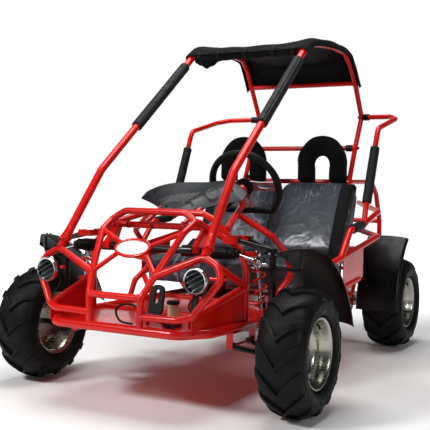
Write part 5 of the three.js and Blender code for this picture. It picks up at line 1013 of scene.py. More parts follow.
def build_suspension():
    bushes = (("upper", 536, 42, 7.0), ("lower", 208, 65, 8.5))
    for side, label in BOTH:
        for level, pivot_z, half, leg in bushes:
            node = f"{level}_arm_{label}"
            outer = V(side * 403, FRONT_AXLE_Y, pivot_z - 28)
            legs = [(
                [outer, V(side * 300, FRONT_AXLE_Y + end * (half + 4), pivot_z)], leg
            ) for end in (-1, 1)]
            rounds = [([V(
                side * 300, FRONT_AXLE_Y + end * half - 13, pivot_z
            ), V(side * 300, FRONT_AXLE_Y + end * half + 13, pivot_z)], 11) for end in (-1, 1)]
            cup = turned([
                (10.2, -7), (15, -7), (16, -6), (16, 6), (15, 7), (10.2, 7)
            ], "z", 32, outer, closed=True)
            geo = welded(legs, rounds).add(cup)
            points, faces = off_tubes(node, legs + rounds + [([outer - V(0, 0, 7), outer + V(0, 0, 7)], 16)])
            if len(points):
                geo.add((points, faces))
            piece(node + "_tubes", geo, BLACK_PAINT, node, "black_paint", [node], sharp=35)
        low, high = V(side * 371, -623, 207), V(side * 330, -623, 490)
        build_shock(f"front_shock_{label}", f"shock_body_{label}", f"shock_rod_{label}", low, high, V(0, 1, 0), {
            "seat": 17, "coil": 20.5, "body": 12.5, "rod": 5.5, "top": 151, "spring_top": 240, "wire": 3.1,
            "turns": (9.5, 3.2), "pitch": 8.6,
            "nodes": (f"shock_body_{label}", f"shock_rod_{label}", f"shock_spring_{label}"),
        })
        # Tie rod: plated rod, locknuts, rod end
        inner, outer = V(side * 300, -722, 496), V(side * 403, -722, 468)
        step = unit(outer - inner)
        geo = Geo().add(bar(inner, outer - step * 15, 5, 20))
        geo.add(turned([(0, -8), (4, -7), (7, -4), (8, 0), (7, 4), (4, 7), (0, 8)], "x", 24, inner))
        geo.add(bar(inner + step * 70, inner + step * 84, 8, 6, chamfer=1)).add(
            bar(inner + step * 86, inner + step * 90, 8.6, 6, chamfer=1)
        )
        geo.add(turned([
            (9.6, -5), (13.5, -5), (14.5, -4), (14.5, 4), (13.5, 5), (9.6, 5)
        ], "z", 32, outer, closed=True))
        node = f"tie_rod_{label}"
        piece(node + "_plated", geo, CHROME, node, "polished", [node], sharp=35)
        # Steering boot over the rack end
        ribs = [(12.4, 318), (12.6, 306)]
        for k in range(9, -1, -1):
            x = 222 + k * 8.4
            root = 14.5 if k > 6 else 16.8
            ribs += [(root, x + 7.2), (root + 4.6, x + 4.8), (root + 4.6, x + 3.4), (root, x + 1)]
        ribs += [(17.5, 222), (15.4, 222), (10.9, 318)]
        node = f"rack_boot_{label}"
        piece(node + "_bellows", turned(
            [(r, side * a) for r, a in ribs], "x", 40, (0, -722, 496), closed=True
        ), BOOT, "chassis", "black_foam", [node])
        for node, look, slot in (
            (f"knuckle_{label}", BLACK_PAINT, "black_paint"), (f"ball_joint_{label}", STEEL, "steel")
        ):
            copy_of(node, look, node, slot, sharp=34, bevel=0.5)
    low, high = V(0, 500, 292), V(0, 478, 690)
    build_shock("rear_shock", "rear_shock_body", "rear_shock_rod", low, high, V(1, 0, 0), {
        "seat": 46, "coil": 25, "body": 15.5, "rod": 7, "top": 219, "spring_top": 254, "wire": 3.6,
        "turns": (5, 3), "pitch": 14, "nodes": ("rear_shock_body", "rear_shock_rod", "rear_shock_spring"),
    })


def build_drive():
    pivot = lambda side, x: V(side * x, 424, 262)
    tubes, rounds = [], []
    for side in (1, -1):
        axle = V(side * 200, REAR_AXLE_Y, AXLE_Z)
        elbow = V(side * 200, 500, 266)
        tubes += [
            ([pivot(side, 200), elbow, axle], HOOP + 1),
            ([elbow, V(side * 180, 545, 332), V(side * 62.5, 545, 332)], HOOP - 2),
            ([axle + V(0, 0, 30.6), V(
                side * 200, REAR_AXLE_Y + 61.2, 332
            ), V(side * 100, REAR_AXLE_Y + 81.6, 332)], HOOP - 2),
        ]
        rounds += [([pivot(side, 180), pivot(side, 220)], 15), ([axle - V(13, 0, 0), axle + V(13, 0, 0)], 34)]
    tubes.append(([V(-200, 500, 266), V(200, 500, 266)], HOOP))
    frame_piece("swing_arm_tubes", "swing_arm", tubes, rounds, "swing_arm")
    copy_of("engine", CASTING, "swing_arm", "engine_grey", sharp=34, bevel=1.2)
    copy_of("rear_axle", STEEL, "rear_wheels", "steel", sharp=34, bevel=0.6)
    copy_of("rack_bar", STEEL, "rack_bar", "steel", sharp=50)
    copy_of("rack_housing", BLACK_PAINT, "chassis", "black_paint", sharp=50)


build_wheels()
build_suspension()
build_drive()


# ---------------------------------------------------------------- moulded covers
def moved(made, side):
    """A made piece, or its mirror image for the kart's right."""
    points, faces = made
    if side > 0:
        return points, faces
    return [flip(p) for p in points], [tuple(reversed(f)) for f in faces]


def arched(centre_x, width, profile, crown, wall, columns, rows, slant=0.0):
    """A crowned arch over a wheel, with a soft rib along each edge."""
    def surface(grow):
        def at(u, v):
            start = slant * u * u
            v = start + (1 - start) * v
            along = unit(spline(profile, min(1, v + 0.004)) - spline(profile, max(0, v - 0.004)))
            out = V(0, -along[2], along[1])
            s = 2 * u - 1
            lip = 1.6 * math.exp(-(((abs(s) - 0.9) / 0.05) ** 2)) - (
                3.5 * ((abs(s) - 0.95) / 0.05) ** 2 if abs(s) > 0.95 else 0
            )
            q = spline(profile, v) + out * (crown * (1 - abs(s) ** 2.5) - crown + grow + lip)
            q[0] = centre_x + s * width / 2
            return q
        return at
    return shell(columns, rows, surface(wall), surface(0))


def wheel_arch(axle_y, reach, degrees, shares):
    angles = [math.radians(d) for d in degrees]
    return [V(
        0, axle_y + reach * k * math.cos(a), AXLE_Z + reach * k * math.sin(a)
    ) for a, k in zip(angles, shares)]


def build_fenders():
    front = wheel_arch(
        FRONT_AXLE_Y, 286, [95, 84, 68, 52, 36, 22, 11], [1.09, 1.09, 1.035, 1.0, 0.995, 1.015, 1.04]
    )
    rear = wheel_arch(REAR_AXLE_Y, 300, [184, 170, 155, 137, 120, 106], [0.8, 0.79, 0.8, 0.86, 0.95, 1.04])
    for side, label in BOTH:
        made = arched(502, 155, front, 24, 4, 26, 40, slant=0.25)
        piece(
            "front_fender_skin_" + label, moved(made, side), FENDER, "knuckle_" + label,
            "black_plastic", ["front_fender_" + label], sharp=60
        )
        for k, y in enumerate((-652, -632)):
            at = V(side * 502, y, AXLE_Z + 286 * 1.09 + 2.5 - k * 1.5)
            piece(
                f"front_fender_bolt_{label}_{k}", bolt(at, (0, 0, 1), 5, 3), STEEL,
                "knuckle_" + label, "steel", sharp=30
            )
        made = arched(384, 186, rear, 12, 4, 28, 36)
        node = "rear_fender_" + label
        piece(
            "rear_fender_skin_" + label, moved(made, side), FENDER, "chassis", "black_plastic",
            [node], sharp=60
        )
        low, high = rear[2], rear[3]
        tab = low + (high - low) * 0.2
        plate = box((60, 34, 4), (side * (HOOP_X + 10 + 30), tab[1], tab[2]))
        piece("rear_fender_tab_" + label, plate, RED, "chassis", "red_paint", bevel=0.8)
        for k, (share, t) in enumerate(((0.42, 0.5), (0.74, 0.42))):
            here = spline(rear, t)
            step = unit(spline(rear, t + 0.02) - spline(rear, t - 0.02))
            out = V(0, -step[2], step[1])
            s = 2 * share - 1
            at = here + out * (12 * (1 - abs(s) ** 2.5) - 12 + 3.6)
            at[0] = side * (384 + s * 93)
            piece(
                f"rear_fender_bolt_{label}_{k}", bolt(at, out, 5.5, 3), BLACK_PAINT, "chassis",
                "black_paint", sharp=30
            )


COWL_Y, COWL_DEPTH, COWL_FRONT, COWL_REAR = FRONT_AXLE_Y + 2, 275, 46, 206
GROOVES = [((-128 + 19 * k, 0.34 + 0.012 * k), (-104 + 19 * k, 0.62 + 0.012 * k)) for k in range(8)]
DIAL = (92, 0.66)


def smooth(a, b, x):
    t = min(1, max(0, (x - a) / (b - a)))
    return t * t * (3 - 2 * t)


def cowl_relief(x, v):
    """Height of the moulded detail at x millimetres across and v along the cowl."""
    y = v * COWL_DEPTH
    rise = 0.0
    for (x0, v0), (x1, v1) in GROOVES:
        a, b, p = np.array([x0, v0 * COWL_DEPTH]), np.array([x1, v1 * COWL_DEPTH]), np.array([x, y])
        t = min(1, max(0, float((p - a) @ (b - a)) / float((b - a) @ (b - a))))
        d = float(np.linalg.norm(a + (b - a) * t - p))
        if d < 9:
            rise += -3.0 * math.exp(-((d / 2.6) ** 2)) + 0.9 * math.exp(-(((d - 5) / 2) ** 2))
    d = math.hypot(x - DIAL[0], y - DIAL[1] * COWL_DEPTH)
    if d < 60:
        rise += 5 * (1 - smooth(27, 33, d)) - 2.2 * (1 - smooth(20, 23, d)) + 1.2 * math.exp(-(((d - 36) / 2.5) ** 2))
    # The step that runs forward of the dial on the driver's side
    edge = 0.42 - 0.0012 * (x - 30)
    if x > 0:
        rise -= 6.5 * smooth(0, 26, x) * (1 - smooth(edge - 0.05, edge, v)) * smooth(0.04, 0.12, v)
    return rise


def build_cowl():
    def surface(grow, detail):
        def at(u, v):
            side = 2 * u - 1
            open_ = min(1, v / 0.8) ** 2.2
            half = COWL_FRONT + (COWL_REAR - COWL_FRONT) * open_
            rise = (722 - 634) * min(1, v / 0.95) ** 2
            lip = ((v - 0.93) / 0.07) ** 2 * 58 * 0.35 if v > 0.93 else 0
            front = ((0.1 - v) / 0.1) ** 2 * 58 * 0.12 if v < 0.1 else 0
            drop = 58 * abs(side) ** 3.5 * (0.35 + 0.3 * open_)
            pod = 14 * math.exp(-(((side - 0.6) / 0.3) ** 2)) * math.sin(v * math.pi * 0.62) ** 2
            y = COWL_Y + COWL_DEPTH * v - COWL_DEPTH * 0.16 * side * side * open_
            x = side * (half + grow * side * side)
            extra = detail * cowl_relief(x, v) * (1 - smooth(0.8, 0.95, abs(side)))
            return V(x, y, 634 + rise - lip - front - drop + pod + grow + extra)
        return at
    piece("dash_cowl_skin", shell(
        150, 110, surface(0, 1), surface(-4, 0.6)
    ), COWL, "chassis", "grey_plastic", ["dash_cowl"], sharp=55)
    top = surface(0, 0)
    for k, (u, v) in enumerate(((0.5, 0.06), (0.12, 0.8), (0.88, 0.8))):
        piece(f"cowl_screw_{k}", bolt(
            top(u, v) - V(0, 0, 0.6), (0, 0, 1), 4.5, 2.2
        ), BLACK_PAINT, "chassis", "black_paint", sharp=30)


def build_lamps():
    for side, label in BOTH:
        at = V(side * LAMP_X, LAMP_Y, LAMP_Z)
        r, d = LAMP_R, LAMP_DEPTH
        bowl = [
            (0, 0), (r * 0.5, 0), (r * 0.62, -2), (r * 0.86, -d * 0.32), (r * 0.93, -d * 0.5),
            (r * 0.95, -d * 0.72), (r * 0.8, -d * 0.74), (0, -d * 0.74)
        ]
        node = "headlight_" + label
        piece(
            node + "_bowl", turned(bowl, "y", 56, at), BLACK_PLASTIC, "chassis", "black_plastic",
            [node], sharp=40
        )
        bezel = [(r * 0.93, -d * 0.68), (r * 0.985, -d * 0.7), (r, -d * 0.78), (r * 0.995, -d * 0.9), (r * 0.93, -d), (r * 0.84, -d * 0.985),
                 (r * 0.8, -d * 0.9), (r * 0.79, -d * 0.8), (r * 0.9, -d * 0.74)]
        piece(node + "_bezel", turned(
            bezel, "y", 64, at, closed=True
        ), CHROME, "chassis", "polished", sharp=50)
        lens = [
            (0, -d * 0.91), (r * 0.3, -d * 0.905), (r * 0.6, -d * 0.88), (r * 0.78, -d * 0.84),
            (r * 0.8, -d * 0.78), (0, -d * 0.78)
        ]
        piece(node + "_lens", turned(lens, "y", 56, at), LENS_BLACK, "chassis", "black_plastic", sharp=50)
        geo = Geo()
        for k in range(4):
            offset = (k - 1.5) * r * 0.36
            reach = math.sqrt(max(0, (r * 0.76) ** 2 - offset**2))
            lean = V(math.cos(0.5), 0, math.sin(0.5))
            across_ = V(-lean[2], 0, lean[0])
            dish = lambda q: V(q[0], -d * 0.905 + 3.2 * (q[0] ** 2 + q[2] ** 2) / (r * 0.78) ** 2, q[2])
            path = [dish(lean * t + across_ * offset) for t in np.linspace(-reach, reach, 9)]
            geo.add(([
                p + at for p in sweep(path, [(2.4, 0.9), (2.4, -0.9), (-2.4, -0.9), (-2.4, 0.9)])[0]
            ], sweep(path, ring(1, 4))[1]))
        piece(node + "_bars", geo, CHROME, "chassis", "polished", sharp=40)
        for k in range(3):
            angle = 0.6 + k * 2 * math.pi / 3
            spot = at + V(r * 0.965 * math.cos(angle), -d * 0.86, r * 0.965 * math.sin(angle))
            piece(f"{node}_screw_{k}", bar(
                spot + V(0, 2, 0), spot - V(0, 2.4, 0), 2.6, 12, chamfer=0.6
            ), STEEL, "chassis", "steel", sharp=30)


# ---------------------------------------------------------------- steering wheel
def wheel_path(radius, flat, count=96):
    """The D-shaped centreline, round above and flat below."""
    start = math.asin(-flat / radius)
    corner = 0.16
    points = []
    for i in range(count):
        t = i / (count - 1)
        a = start + corner + (math.pi - 2 * start - 2 * corner) * t
        points.append(V(radius * math.cos(a), radius * math.sin(a), 0))
    left, right = points[-1], points[0]
    low_left, low_right = V(left[0] * 0.86, -flat, 0), V(right[0] * 0.86, -flat, 0)
    bend_left = [V(
        *(left * (1 - t) ** 2 + V(left[0] * 0.99, -flat, 0) * 2 * t * (1 - t) + low_left * t * t)
    ) for t in (0.25, 0.5, 0.75)]
    bend_right = [V(
        *(low_right * (1 - t) ** 2 + V(right[0] * 0.99, -flat, 0) * 2 * t * (1 - t) + right * t * t)
    ) for t in (0.25, 0.5, 0.75)]
    base = [low_left + (low_right - low_left) * t for t in np.linspace(0, 1, 9)]
    return points + bend_left + base + bend_right


def torus_along(path, outline_at):
    """A closed loop of sections: outline_at(i) gives (out, up) pairs round the path point i."""
    count = len(path)
    verts, faces = [], []
    for i, p in enumerate(path):
        step = unit(path[(i + 1) % count] - path[i - 1])
        out = V(step[1], -step[0], 0)
        for a, b in outline_at(i):
            verts.append(p + out * a + V(0, 0, b))
    size = len(outline_at(0))
    for i in range(count):
        for k in range(size):
            a, c = i * size, ((i + 1) % count) * size
            faces.append((a + k, a + (k + 1) % size, c + (k + 1) % size, c + k))
    return verts, faces


def build_steering_wheel():
    z = COLUMN
    y = unit(V(0, 0, 1) - z * float(V(0, 0, 1) @ z))
    at = basis(WHEEL_AT, np.cross(y, z), y, z)
    path = wheel_path(143 - 12.5, 0.78 * 143 - 12.5)

    def section(i):
        p = path[i]
        swell = 1 + 0.10 * math.exp(-(((abs(math.atan2(p[1], abs(p[0]))) - 0.15) / 0.28) ** 2))
        return [(
            12.3 * swell * math.cos(t),
            12.3 * swell * math.sin(t) + 0.9 * (1 if math.sin(t) < 0 else 0) * abs(math.sin(4 * t))
        )
                for t in (2 * math.pi * k / 20 for k in range(20))]
    piece("wheel_rim_grip", placed(
        torus_along(path, section), at
    ), GRIP, "steering_wheel", "black_foam", ["steering_wheel"])
    reach, hub = 130, 34
    for k, degrees in enumerate((0, 180, 270)):
        long_ = reach if k < 2 else 0.78 * 143 - 12.5
        outline = [
            (18, -hub * 0.62), (long_ * 0.5, -hub * 0.5), (long_, -hub * 0.56), (long_, hub * 0.56),
            (long_ * 0.5, hub * 0.5), (18, hub * 0.62)
        ]
        slot = [(
            long_ * 0.6 + long_ * 0.2 * math.cos(t), hub * 0.2 * math.sin(t)
        ) for t in (2 * math.pi * i / 28 for i in range(28))]
        turn = at @ np.array(Matrix.Rotation(math.radians(degrees), 4, "Z"))
        piece(f"wheel_spoke_{k}", placed(
            plate_with_slot(outline, slot, -2.5, 2.5), turn
        ), STEEL, "steering_wheel", "steel", sharp=40, bevel=0.7)
    cap = [(0, 8), (12, 7.6), (22, 6), (29, 3), (32, 0), (33, -4), (34, -7), (0, -7)]
    piece(
        "wheel_hub", placed(turned(cap, sides=48), at), BLACK_PLASTIC, "steering_wheel",
        "black_plastic", sharp=50
    )
    for k in range(6):
        a = math.pi / 3 * k + math.pi / 6
        spot = at @ np.array([23 * math.cos(a), 23 * math.sin(a), 5.2, 1])
        piece(f"wheel_screw_{k}", bolt(spot[:3], z, 3, 1.6), STEEL, "steering_wheel", "steel", sharp=30)
    lower = PINION + COLUMN * 36
    geo = Geo().add(bar(lower, WHEEL_AT - COLUMN * 7, 9, 24)).add(
        bar(WHEEL_AT - COLUMN * 24, WHEEL_AT - COLUMN * 7, 15, 24, chamfer=2)
    )
    piece("steering_shaft", geo, BLACK_PAINT, "steering_wheel", "black_paint", sharp=40)


def plate_with_slot(outline, slot, low, high):
    """A flat plate with one hole, as two bands of faces round the hole."""
    whole = resampled(outline, 60)
    hole = resampled(slot, 60)
    centre = np.mean(hole, axis=0)
    key = lambda p: math.atan2(p[1] - centre[1], p[0] - centre[0])
    whole, hole = sorted(whole, key=key), sorted(hole, key=key)
    count = len(whole)
    verts = [V(x, y, z) for z in (low, high) for loop in (whole, hole) for x, y in loop]
    faces = []
    for i in range(count):
        j = (i + 1) % count
        faces += [(i, count + i, count + j, j), (2 * count + i, 2 * count + j, 3 * count + j, 3 * count + i),
                  (i, j, 2 * count + j, 2 * count + i), (count + i, 3 * count + i, 3 * count + j, count + j)]
    return verts, faces


def resampled(loop, count):
    """Even points round a closed outline, with its corners kept near."""
    pts = [np.array(p, float) for p in loop]
    lengths = [float(np.linalg.norm(pts[(i + 1) % len(pts)] - pts[i])) for i in range(len(pts))]
    total, out, i, gone = sum(lengths), [], 0, 0.0
    for k in range(count):
        target = total * k / count
        while gone + lengths[i] < target:
            gone += lengths[i]
            i += 1
        t = (target - gone) / lengths[i]
        out.append(tuple(pts[i] + (pts[(i + 1) % len(pts)] - pts[i]) * t))
    return out


build_fenders()
build_cowl()
build_lamps()
build_steering_wheel()


# ---------------------------------------------------------------- soft parts
def lumps(p, scale, seed=0.0):
    """Smooth noise at a point, from about -1 to 1."""
    return noise.noise(
        Vector((float(p[0]) * scale + seed, float(p[1]) * scale - seed, float(p[2]) * scale + 2 * seed))
    )


def applied(obj):
    """The object's mesh with its modifiers made part of it."""
    bpy.context.view_layer.update()
    depsgraph = bpy.context.evaluated_depsgraph_get()
    mesh = bpy.data.meshes.new_from_object(obj.evaluated_get(depsgraph))
    obj.modifiers.clear()
    old = obj.data
    obj.data = mesh
    bpy.data.meshes.remove(old)
    return obj


def padded_mesh(name, made, voxel=6.0, smoothing=12, cap=7.0, pressure=4.0):
    """A stuffed form: the shape remeshed, smoothed, then swollen as cloth under pressure."""
    mesh = bpy.data.meshes.new(name + "_form")
    mesh.from_pydata((np.array(made[0]) * MM).tolist(), [], made[1])
    obj = bpy.data.objects.new(name + "_form", mesh)
    bpy.context.scene.collection.objects.link(obj)
    even = obj.modifiers.new("even", "REMESH")
    even.mode, even.voxel_size = "VOXEL", voxel * MM
    soft = obj.modifiers.new("soft", "SMOOTH")
    soft.factor, soft.iterations = 0.5, smoothing
    applied(obj)
    start = np.array([v.co for v in obj.data.vertices])
    cloth = obj.modifiers.new("cloth", "CLOTH")
    cloth.settings.use_pressure = True
    cloth.settings.uniform_pressure_force = pressure
    cloth.settings.effector_weights.gravity = 0
    cloth.settings.quality = 4
    cloth.settings.tension_stiffness = cloth.settings.compression_stiffness = 14
    cloth.point_cache.frame_start, cloth.point_cache.frame_end = 1, 20
    for step in range(1, 21):
        bpy.context.scene.frame_set(step)
    applied(obj)
    bpy.context.scene.frame_set(1)
    now = np.array([v.co for v in obj.data.vertices])
    if len(now) == len(start):
        move = now - start
        length = np.linalg.norm(move, axis=1, keepdims=True)
        start = start + move * np.minimum(1, cap * MM / np.maximum(length, 1e-9))
    points = start / MM
    faces = [tuple(p.vertices) for p in obj.data.polygons]
    bpy.data.objects.remove(obj)
    return points, faces


def rounded_outline(corners, steps=8):
    """A closed outline from (x, y, radius) corners."""
    points, count = [], len(corners)
    for i, (x, y, r) in enumerate(corners):
        here = np.array([x, y], float)
        before = np.array(corners[i - 1][:2], float)
        after = np.array(corners[(i + 1) % count][:2], float)
        a, b = here + unit(before - here) * r, here + unit(after - here) * r
        for k in range(steps + 1):
            t = k / steps
            points.append(tuple(a * (1 - t) ** 2 + here * 2 * t * (1 - t) + b * t * t))
    return points


SEAT_HALF = 345


def seat_skin(x, y, half_x, half_y, channels, crown):
    """How far the vinyl stands out at a place on the cushion's face."""
    u, v = min(1, abs(x / half_x)), min(1, abs(y / half_y))
    swell = (1 - u**4) * (1 - v**4)
    rise = crown * swell
    for c in channels:
        rise -= 6.5 * swell * math.exp(-(((x - c) / 9) ** 2))
    return rise


def creases(p, strength):
    """Folds of the loose film over the seat."""
    ridge = 0.0
    for scale, size, seed in ((0.011, 1.0, 3.1), (0.023, 0.6, 8.7), (0.05, 0.3, 5.2)):
        ridge += size * max(0.0, 1 - abs(lumps((p[0], p[1] * 0.6, p[2] * 1.3), scale, seed)) / 0.09)
    return ridge * strength


def build_seats():
    r = 26
    base_z, front = 325, -227
    for side, label in BOTH:
        low, high = (6, SEAT_HALF) if side > 0 else (-SEAT_HALF, -6)
        middle, half = (low + high) / 2, (high - low) / 2
        outline = rounded_outline(
            [(low, front, r), (high, front, r), (high, front + 380, r), (low, front + 380, r)]
        )
        made = prism(outline, base_z + 3, base_z + 97)
        points, faces = padded_mesh("seat_base_" + label, made, cap=6)
        channels = [middle - half / 3, middle + half / 3]
        top = points[:, 2].max()
        for p in points:
            if p[2] > base_z + 55:
                share = min(1, (p[2] - base_z - 55) / (top - base_z - 55))
                p[2] += share * (seat_skin(
                    p[0] - middle, p[1] - (front + 190), half, 190, [c - middle for c in channels], 11
                ) + creases(p, 0.5))
            p[0] += -np.sign(p[0] - middle) * 3.5 * (1 - ((p[1] - front - 190) / 190) ** 2) * (
                1 if abs(p[0] - middle) > half - 8 else 0
            )
        points[:, 2] = np.maximum(points[:, 2], base_z + 0.6)
        name = "seat_base_" + label
        obj = piece(
            name + "_vinyl", (points, faces), VINYL, "chassis", "grey_vinyl",
            ["seat_base"] if side > 0 else (), sharp=180
        )
        # The back, in its own leaning frame, with rounded shoulders
        outline = rounded_outline([(low, 4, 18), (high, 4, 18), (high - 4, 346, 62), (low + 4, 346, 60)])
        made = prism(outline, -74, -4)
        points, faces = padded_mesh("seat_back_" + label, made, cap=6)
        for p in points:
            if p[2] > -40:
                share = min(1, (p[2] + 40) / 34)
                p[2] += share * (seat_skin(
                    p[0] - middle, p[1] - 175, half, 175, (), 12
                ) + creases((p[0], p[2] + 300, p[1]), 0.8))
            else:
                p[2] = max(p[2], -77.4)
        obj = piece(
            "seat_back_" + label + "_vinyl", placed((points, faces), BACK), VINYL, "chassis",
            "grey_vinyl", ["seat_back"] if side > 0 else (), sharp=180
        )
        # Piping round the face of the back
        loop = rounded_outline(
            [(low + 6, 12, 16), (high - 6, 12, 16), (high - 9, 338, 60), (low + 9, 338, 58)], 10
        )
        path = [V(x, y, -16) for x, y in loop]
        made = torus_along(path, lambda i: [(
            2.6 * math.cos(t) + 3.4, 2.6 * math.sin(t)
        ) for t in (2 * math.pi * k / 8 for k in range(8))])
        piece("seat_piping_" + label, placed(made, BACK), VINYL, "chassis", "grey_vinyl", sharp=180)


def build_headrests():
    top_front = on_back(0, 350, 0)
    foot = top_front[2] - 36
    y0 = top_front[1] - 10
    for side, label in BOTH:
        half, height, hole = 112, 227, 40
        outer = [(-half, 2), (-half, height * 0.5)]
        arc = [(
            -half * math.cos(t) * (1 - 0.07 * math.sin(2 * t) ** 2),
            height * 0.5 + (height * 0.5 - 1) * math.sin(t) ** 0.92
        ) for t in np.linspace(0.02, math.pi - 0.02, 31)]
        inner_top = 136 - hole
        inner = [(hole, 2), (hole, inner_top)] + [(
            hole * math.cos(t), inner_top + hole * math.sin(t)
        ) for t in np.linspace(0.1, math.pi - 0.1, 15)]
        inner += [(-hole, inner_top), (-hole, 2)]
        outline = outer[:1] + arc + [(half, 2)] + inner
        turn = basis((side * 186, y0, foot), V(1, 0, 0), V(0, 0, 1), V(0, -1, 0))
        made = placed(prism_bands(outline, -50, -2), turn)
        points, faces = padded_mesh("headrest_" + label, made, voxel=5.5, smoothing=14, cap=6)
        # The foot stays off the leaning back
        inverse = np.linalg.inv(BACK)
        for i, p in enumerate(points):
            q = inverse @ np.array([*p, 1])
            limit = 352 + 4 if -90 < q[2] < 20 else -1e9
            if q[1] < limit:
                q[1] = limit
                points[i] = (BACK @ q)[:3]
        node = "headrest_" + label
        obj = piece(node + "_cover", (points, faces), HEAD_CLOTH, "chassis", "black_cloth", [node], sharp=180)
        # Seam over the edge of the front face
        seam = [(x * 0.93, 6 + (z - 2) * 0.955) for x, z in outline[1:-len(inner) - 1]]
        path = [(turn @ np.array([x, z, -3.4, 1]))[:3] for x, z in seam]
        piece(node + "_seam", sweep(path, ring(1.3, 8)), HEAD_CLOTH, "chassis", "black_cloth", sharp=180)


def prism_bands(outline, low, high):
    """A prism whose caps are fans of triangles, for an outline that isn't convex."""
    flat = bmesh.new()
    rim = [flat.verts.new((x, y, 0)) for x, y in outline]
    flat.faces.new(rim)
    bmesh.ops.triangulate(flat, faces=flat.faces[:])
    flat.verts.index_update()
    caps = [tuple(v.index for v in f.verts) for f in flat.faces]
    flat.free()
    count = len(outline)
    verts = [V(x, y, z) for z in (low, high) for x, y in outline]
    faces = [(i, (i + 1) % count, count + (i + 1) % count, count + i) for i in range(count)]
    faces += [tuple(reversed(f)) for f in caps] + [tuple(count + i for i in f) for f in caps]
    return verts, faces


def sleeve(a, b, shares, inner, outer, sides=40):
    """A foam tube over a bar: rounded ends, a lengthwise slit and small dents."""
    a, b = np.asarray(a, float), np.asarray(b, float)
    start, end = a + (b - a) * shares[0], a + (b - a) * shares[1]
    length = float(np.linalg.norm(end - start))
    _, n, m = frames_along([start, end])[0]
    step = unit(end - start)
    profile = [(inner, 1.5), (inner + 2, 0.2), (outer - 3, 0), (outer - 0.8, 1.2), (outer, 4)]
    rings = 64
    profile += [(outer, 4 + (length - 8) * k / rings) for k in range(1, rings)]
    profile += [
        (outer, length - 4), (outer - 0.8, length - 1.2), (outer - 3, length),
        (inner + 2, length - 0.2), (inner, length - 1.5)
    ]
    verts, faces = [], []
    for r, z in profile:
        for k in range(sides):
            t = 2 * math.pi * k / sides
            p = start + step * z
            swell = r
            if r > inner + 3:
                spot = p + n * math.cos(t) * r + m * math.sin(t) * r
                swell += 0.55 * lumps(spot, 0.03, 1.7) + 0.25 * lumps(spot, 0.09, 4.2)
                swell -= 2.4 * math.exp(-(((math.remainder(t - 2.2, 2 * math.pi)) / 0.07) ** 2))
            verts.append(p + (n * math.cos(t) + m * math.sin(t)) * swell)
    count = len(profile)
    for j in range(count):
        for k in range(sides):
            a_, c = j * sides, ((j + 1) % count) * sides
            faces.append((a_ + k, a_ + (k + 1) % sides, c + (k + 1) % sides, c + k))
    return verts, faces


def build_pads():
    for side, label in BOTH:
        for name, ends, shares, inner, outer in (
            ("pillar_pad_", ("pillarBend", "pillarTop"), (0.34, 0.89), PILLAR + 0.4, 21),
            ("side_pad_", ("barSocket", "barBend"), (0.12, 0.88), SIDE - 0.6, 19),
        ):
            made = moved(sleeve(place(ends[0]), place(ends[1]), shares, inner, outer - 0.4), side)
            obj = piece(name + label + "_foam", made, FOAM, "chassis", "black_foam", [name + label], sharp=50)


# Canopy: one sheet over the roof rails, rolled round the front bar, with turned-down sides and a rear flap
CANOPY_PROFILE = [
    (0, 0), (0.3, 0), (0.58, 0), (0.8, 0), (0.9, 0), (0.97, 1.2), (1.0, 6), (1.006, 16), (1.0, 30)
]
CANOPY_SAG = [0, 0.3, 0.9, 1, 0.75, 0, 0]


def build_canopy():
    spine = [place(n) for n in ("canopyFront", "roofFront", "roofMid", "roofRear", "roofDrop", "hoopHigh")]
    forward = unit(spine[1] - spine[0]) * -PILLAR * 1.2
    lift = PILLAR + 1.5
    tail = spine[5] + unit(place("hoopBow") - spine[5]) * 18
    route = [spine[0] + forward] + spine[1:] + [tail]
    rows = len(route) - 1

    def section(u, v, grow):
        t = v * rows
        here = spline(route, v)
        step = unit((spline(route, min(1, v + 0.01)) - spline(route, max(0, v - 0.01))) * V(0, 1, 1))
        up = V(0, -step[2], step[1])
        s = 2 * u - 1
        side = 1 if s >= 0 else -1
        out, hem = spline(CANOPY_PROFILE, abs(s) ** 0.9)
        sag = float(np.interp(t, range(len(CANOPY_SAG)), CANOPY_SAG))
        loose = sag * (1 - min(1, out / 0.9) ** 4)
        fold = 5 * loose * math.cos(9 * side * out + 5 * v)
        wave = 2.2 * lumps((side * out * 240, v * 420, 0), 0.016, 2.3) * (1 - min(1, out) ** 8)
        pull = 1.6 * math.sin(46 * v + 6 * side) * smooth(0.72, 0.95, out) * (1 - smooth(0, 20, hem))
        width = here[0] + lift
        q = here + up * (lift - 38 * loose - fold + wave + pull - hem + grow)
        q[0] = side * (out * width + (hem > 3) * min(1, hem / 8) * 3 + min(1, hem / 6) * grow)
        return q
    made = shell(120, 110, lambda u, v: section(u, v, 1.6), lambda u, v: section(u, v, 0))
    top = np.array(made[0][: 121 * 111]).reshape(111, 121, 3)
    a, b = np.diff(top, axis=0)[:, :-1], np.diff(top, axis=1)[:-1]
    area = float(np.linalg.norm(np.cross(a, b), axis=2).sum()) * 1e-6
    roll = build_roll(spine[0])
    for name, line in (("canopy_hem_rear", [section(u, 0.985, 2.4) for u in np.linspace(0.01, 0.99, 60)]),
                       ("canopy_hem_left", [section(0.985, v, 2.2) for v in np.linspace(0.03, 0.97, 60)]),
                       ("canopy_hem_right", [section(0.015, v, 2.2) for v in np.linspace(0.03, 0.97, 60)])):
        piece(name, sweep(
            line, [(1.5, 0.5), (-1.5, 0.5), (-1.5, -0.9), (1.5, -0.9)]
        ), CLOTH, "chassis", "black_cloth", sharp=60)
    sheet_piece = piece("canopy_sheet", made, CLOTH, "chassis", "black_cloth", ["canopy"], sharp=70)


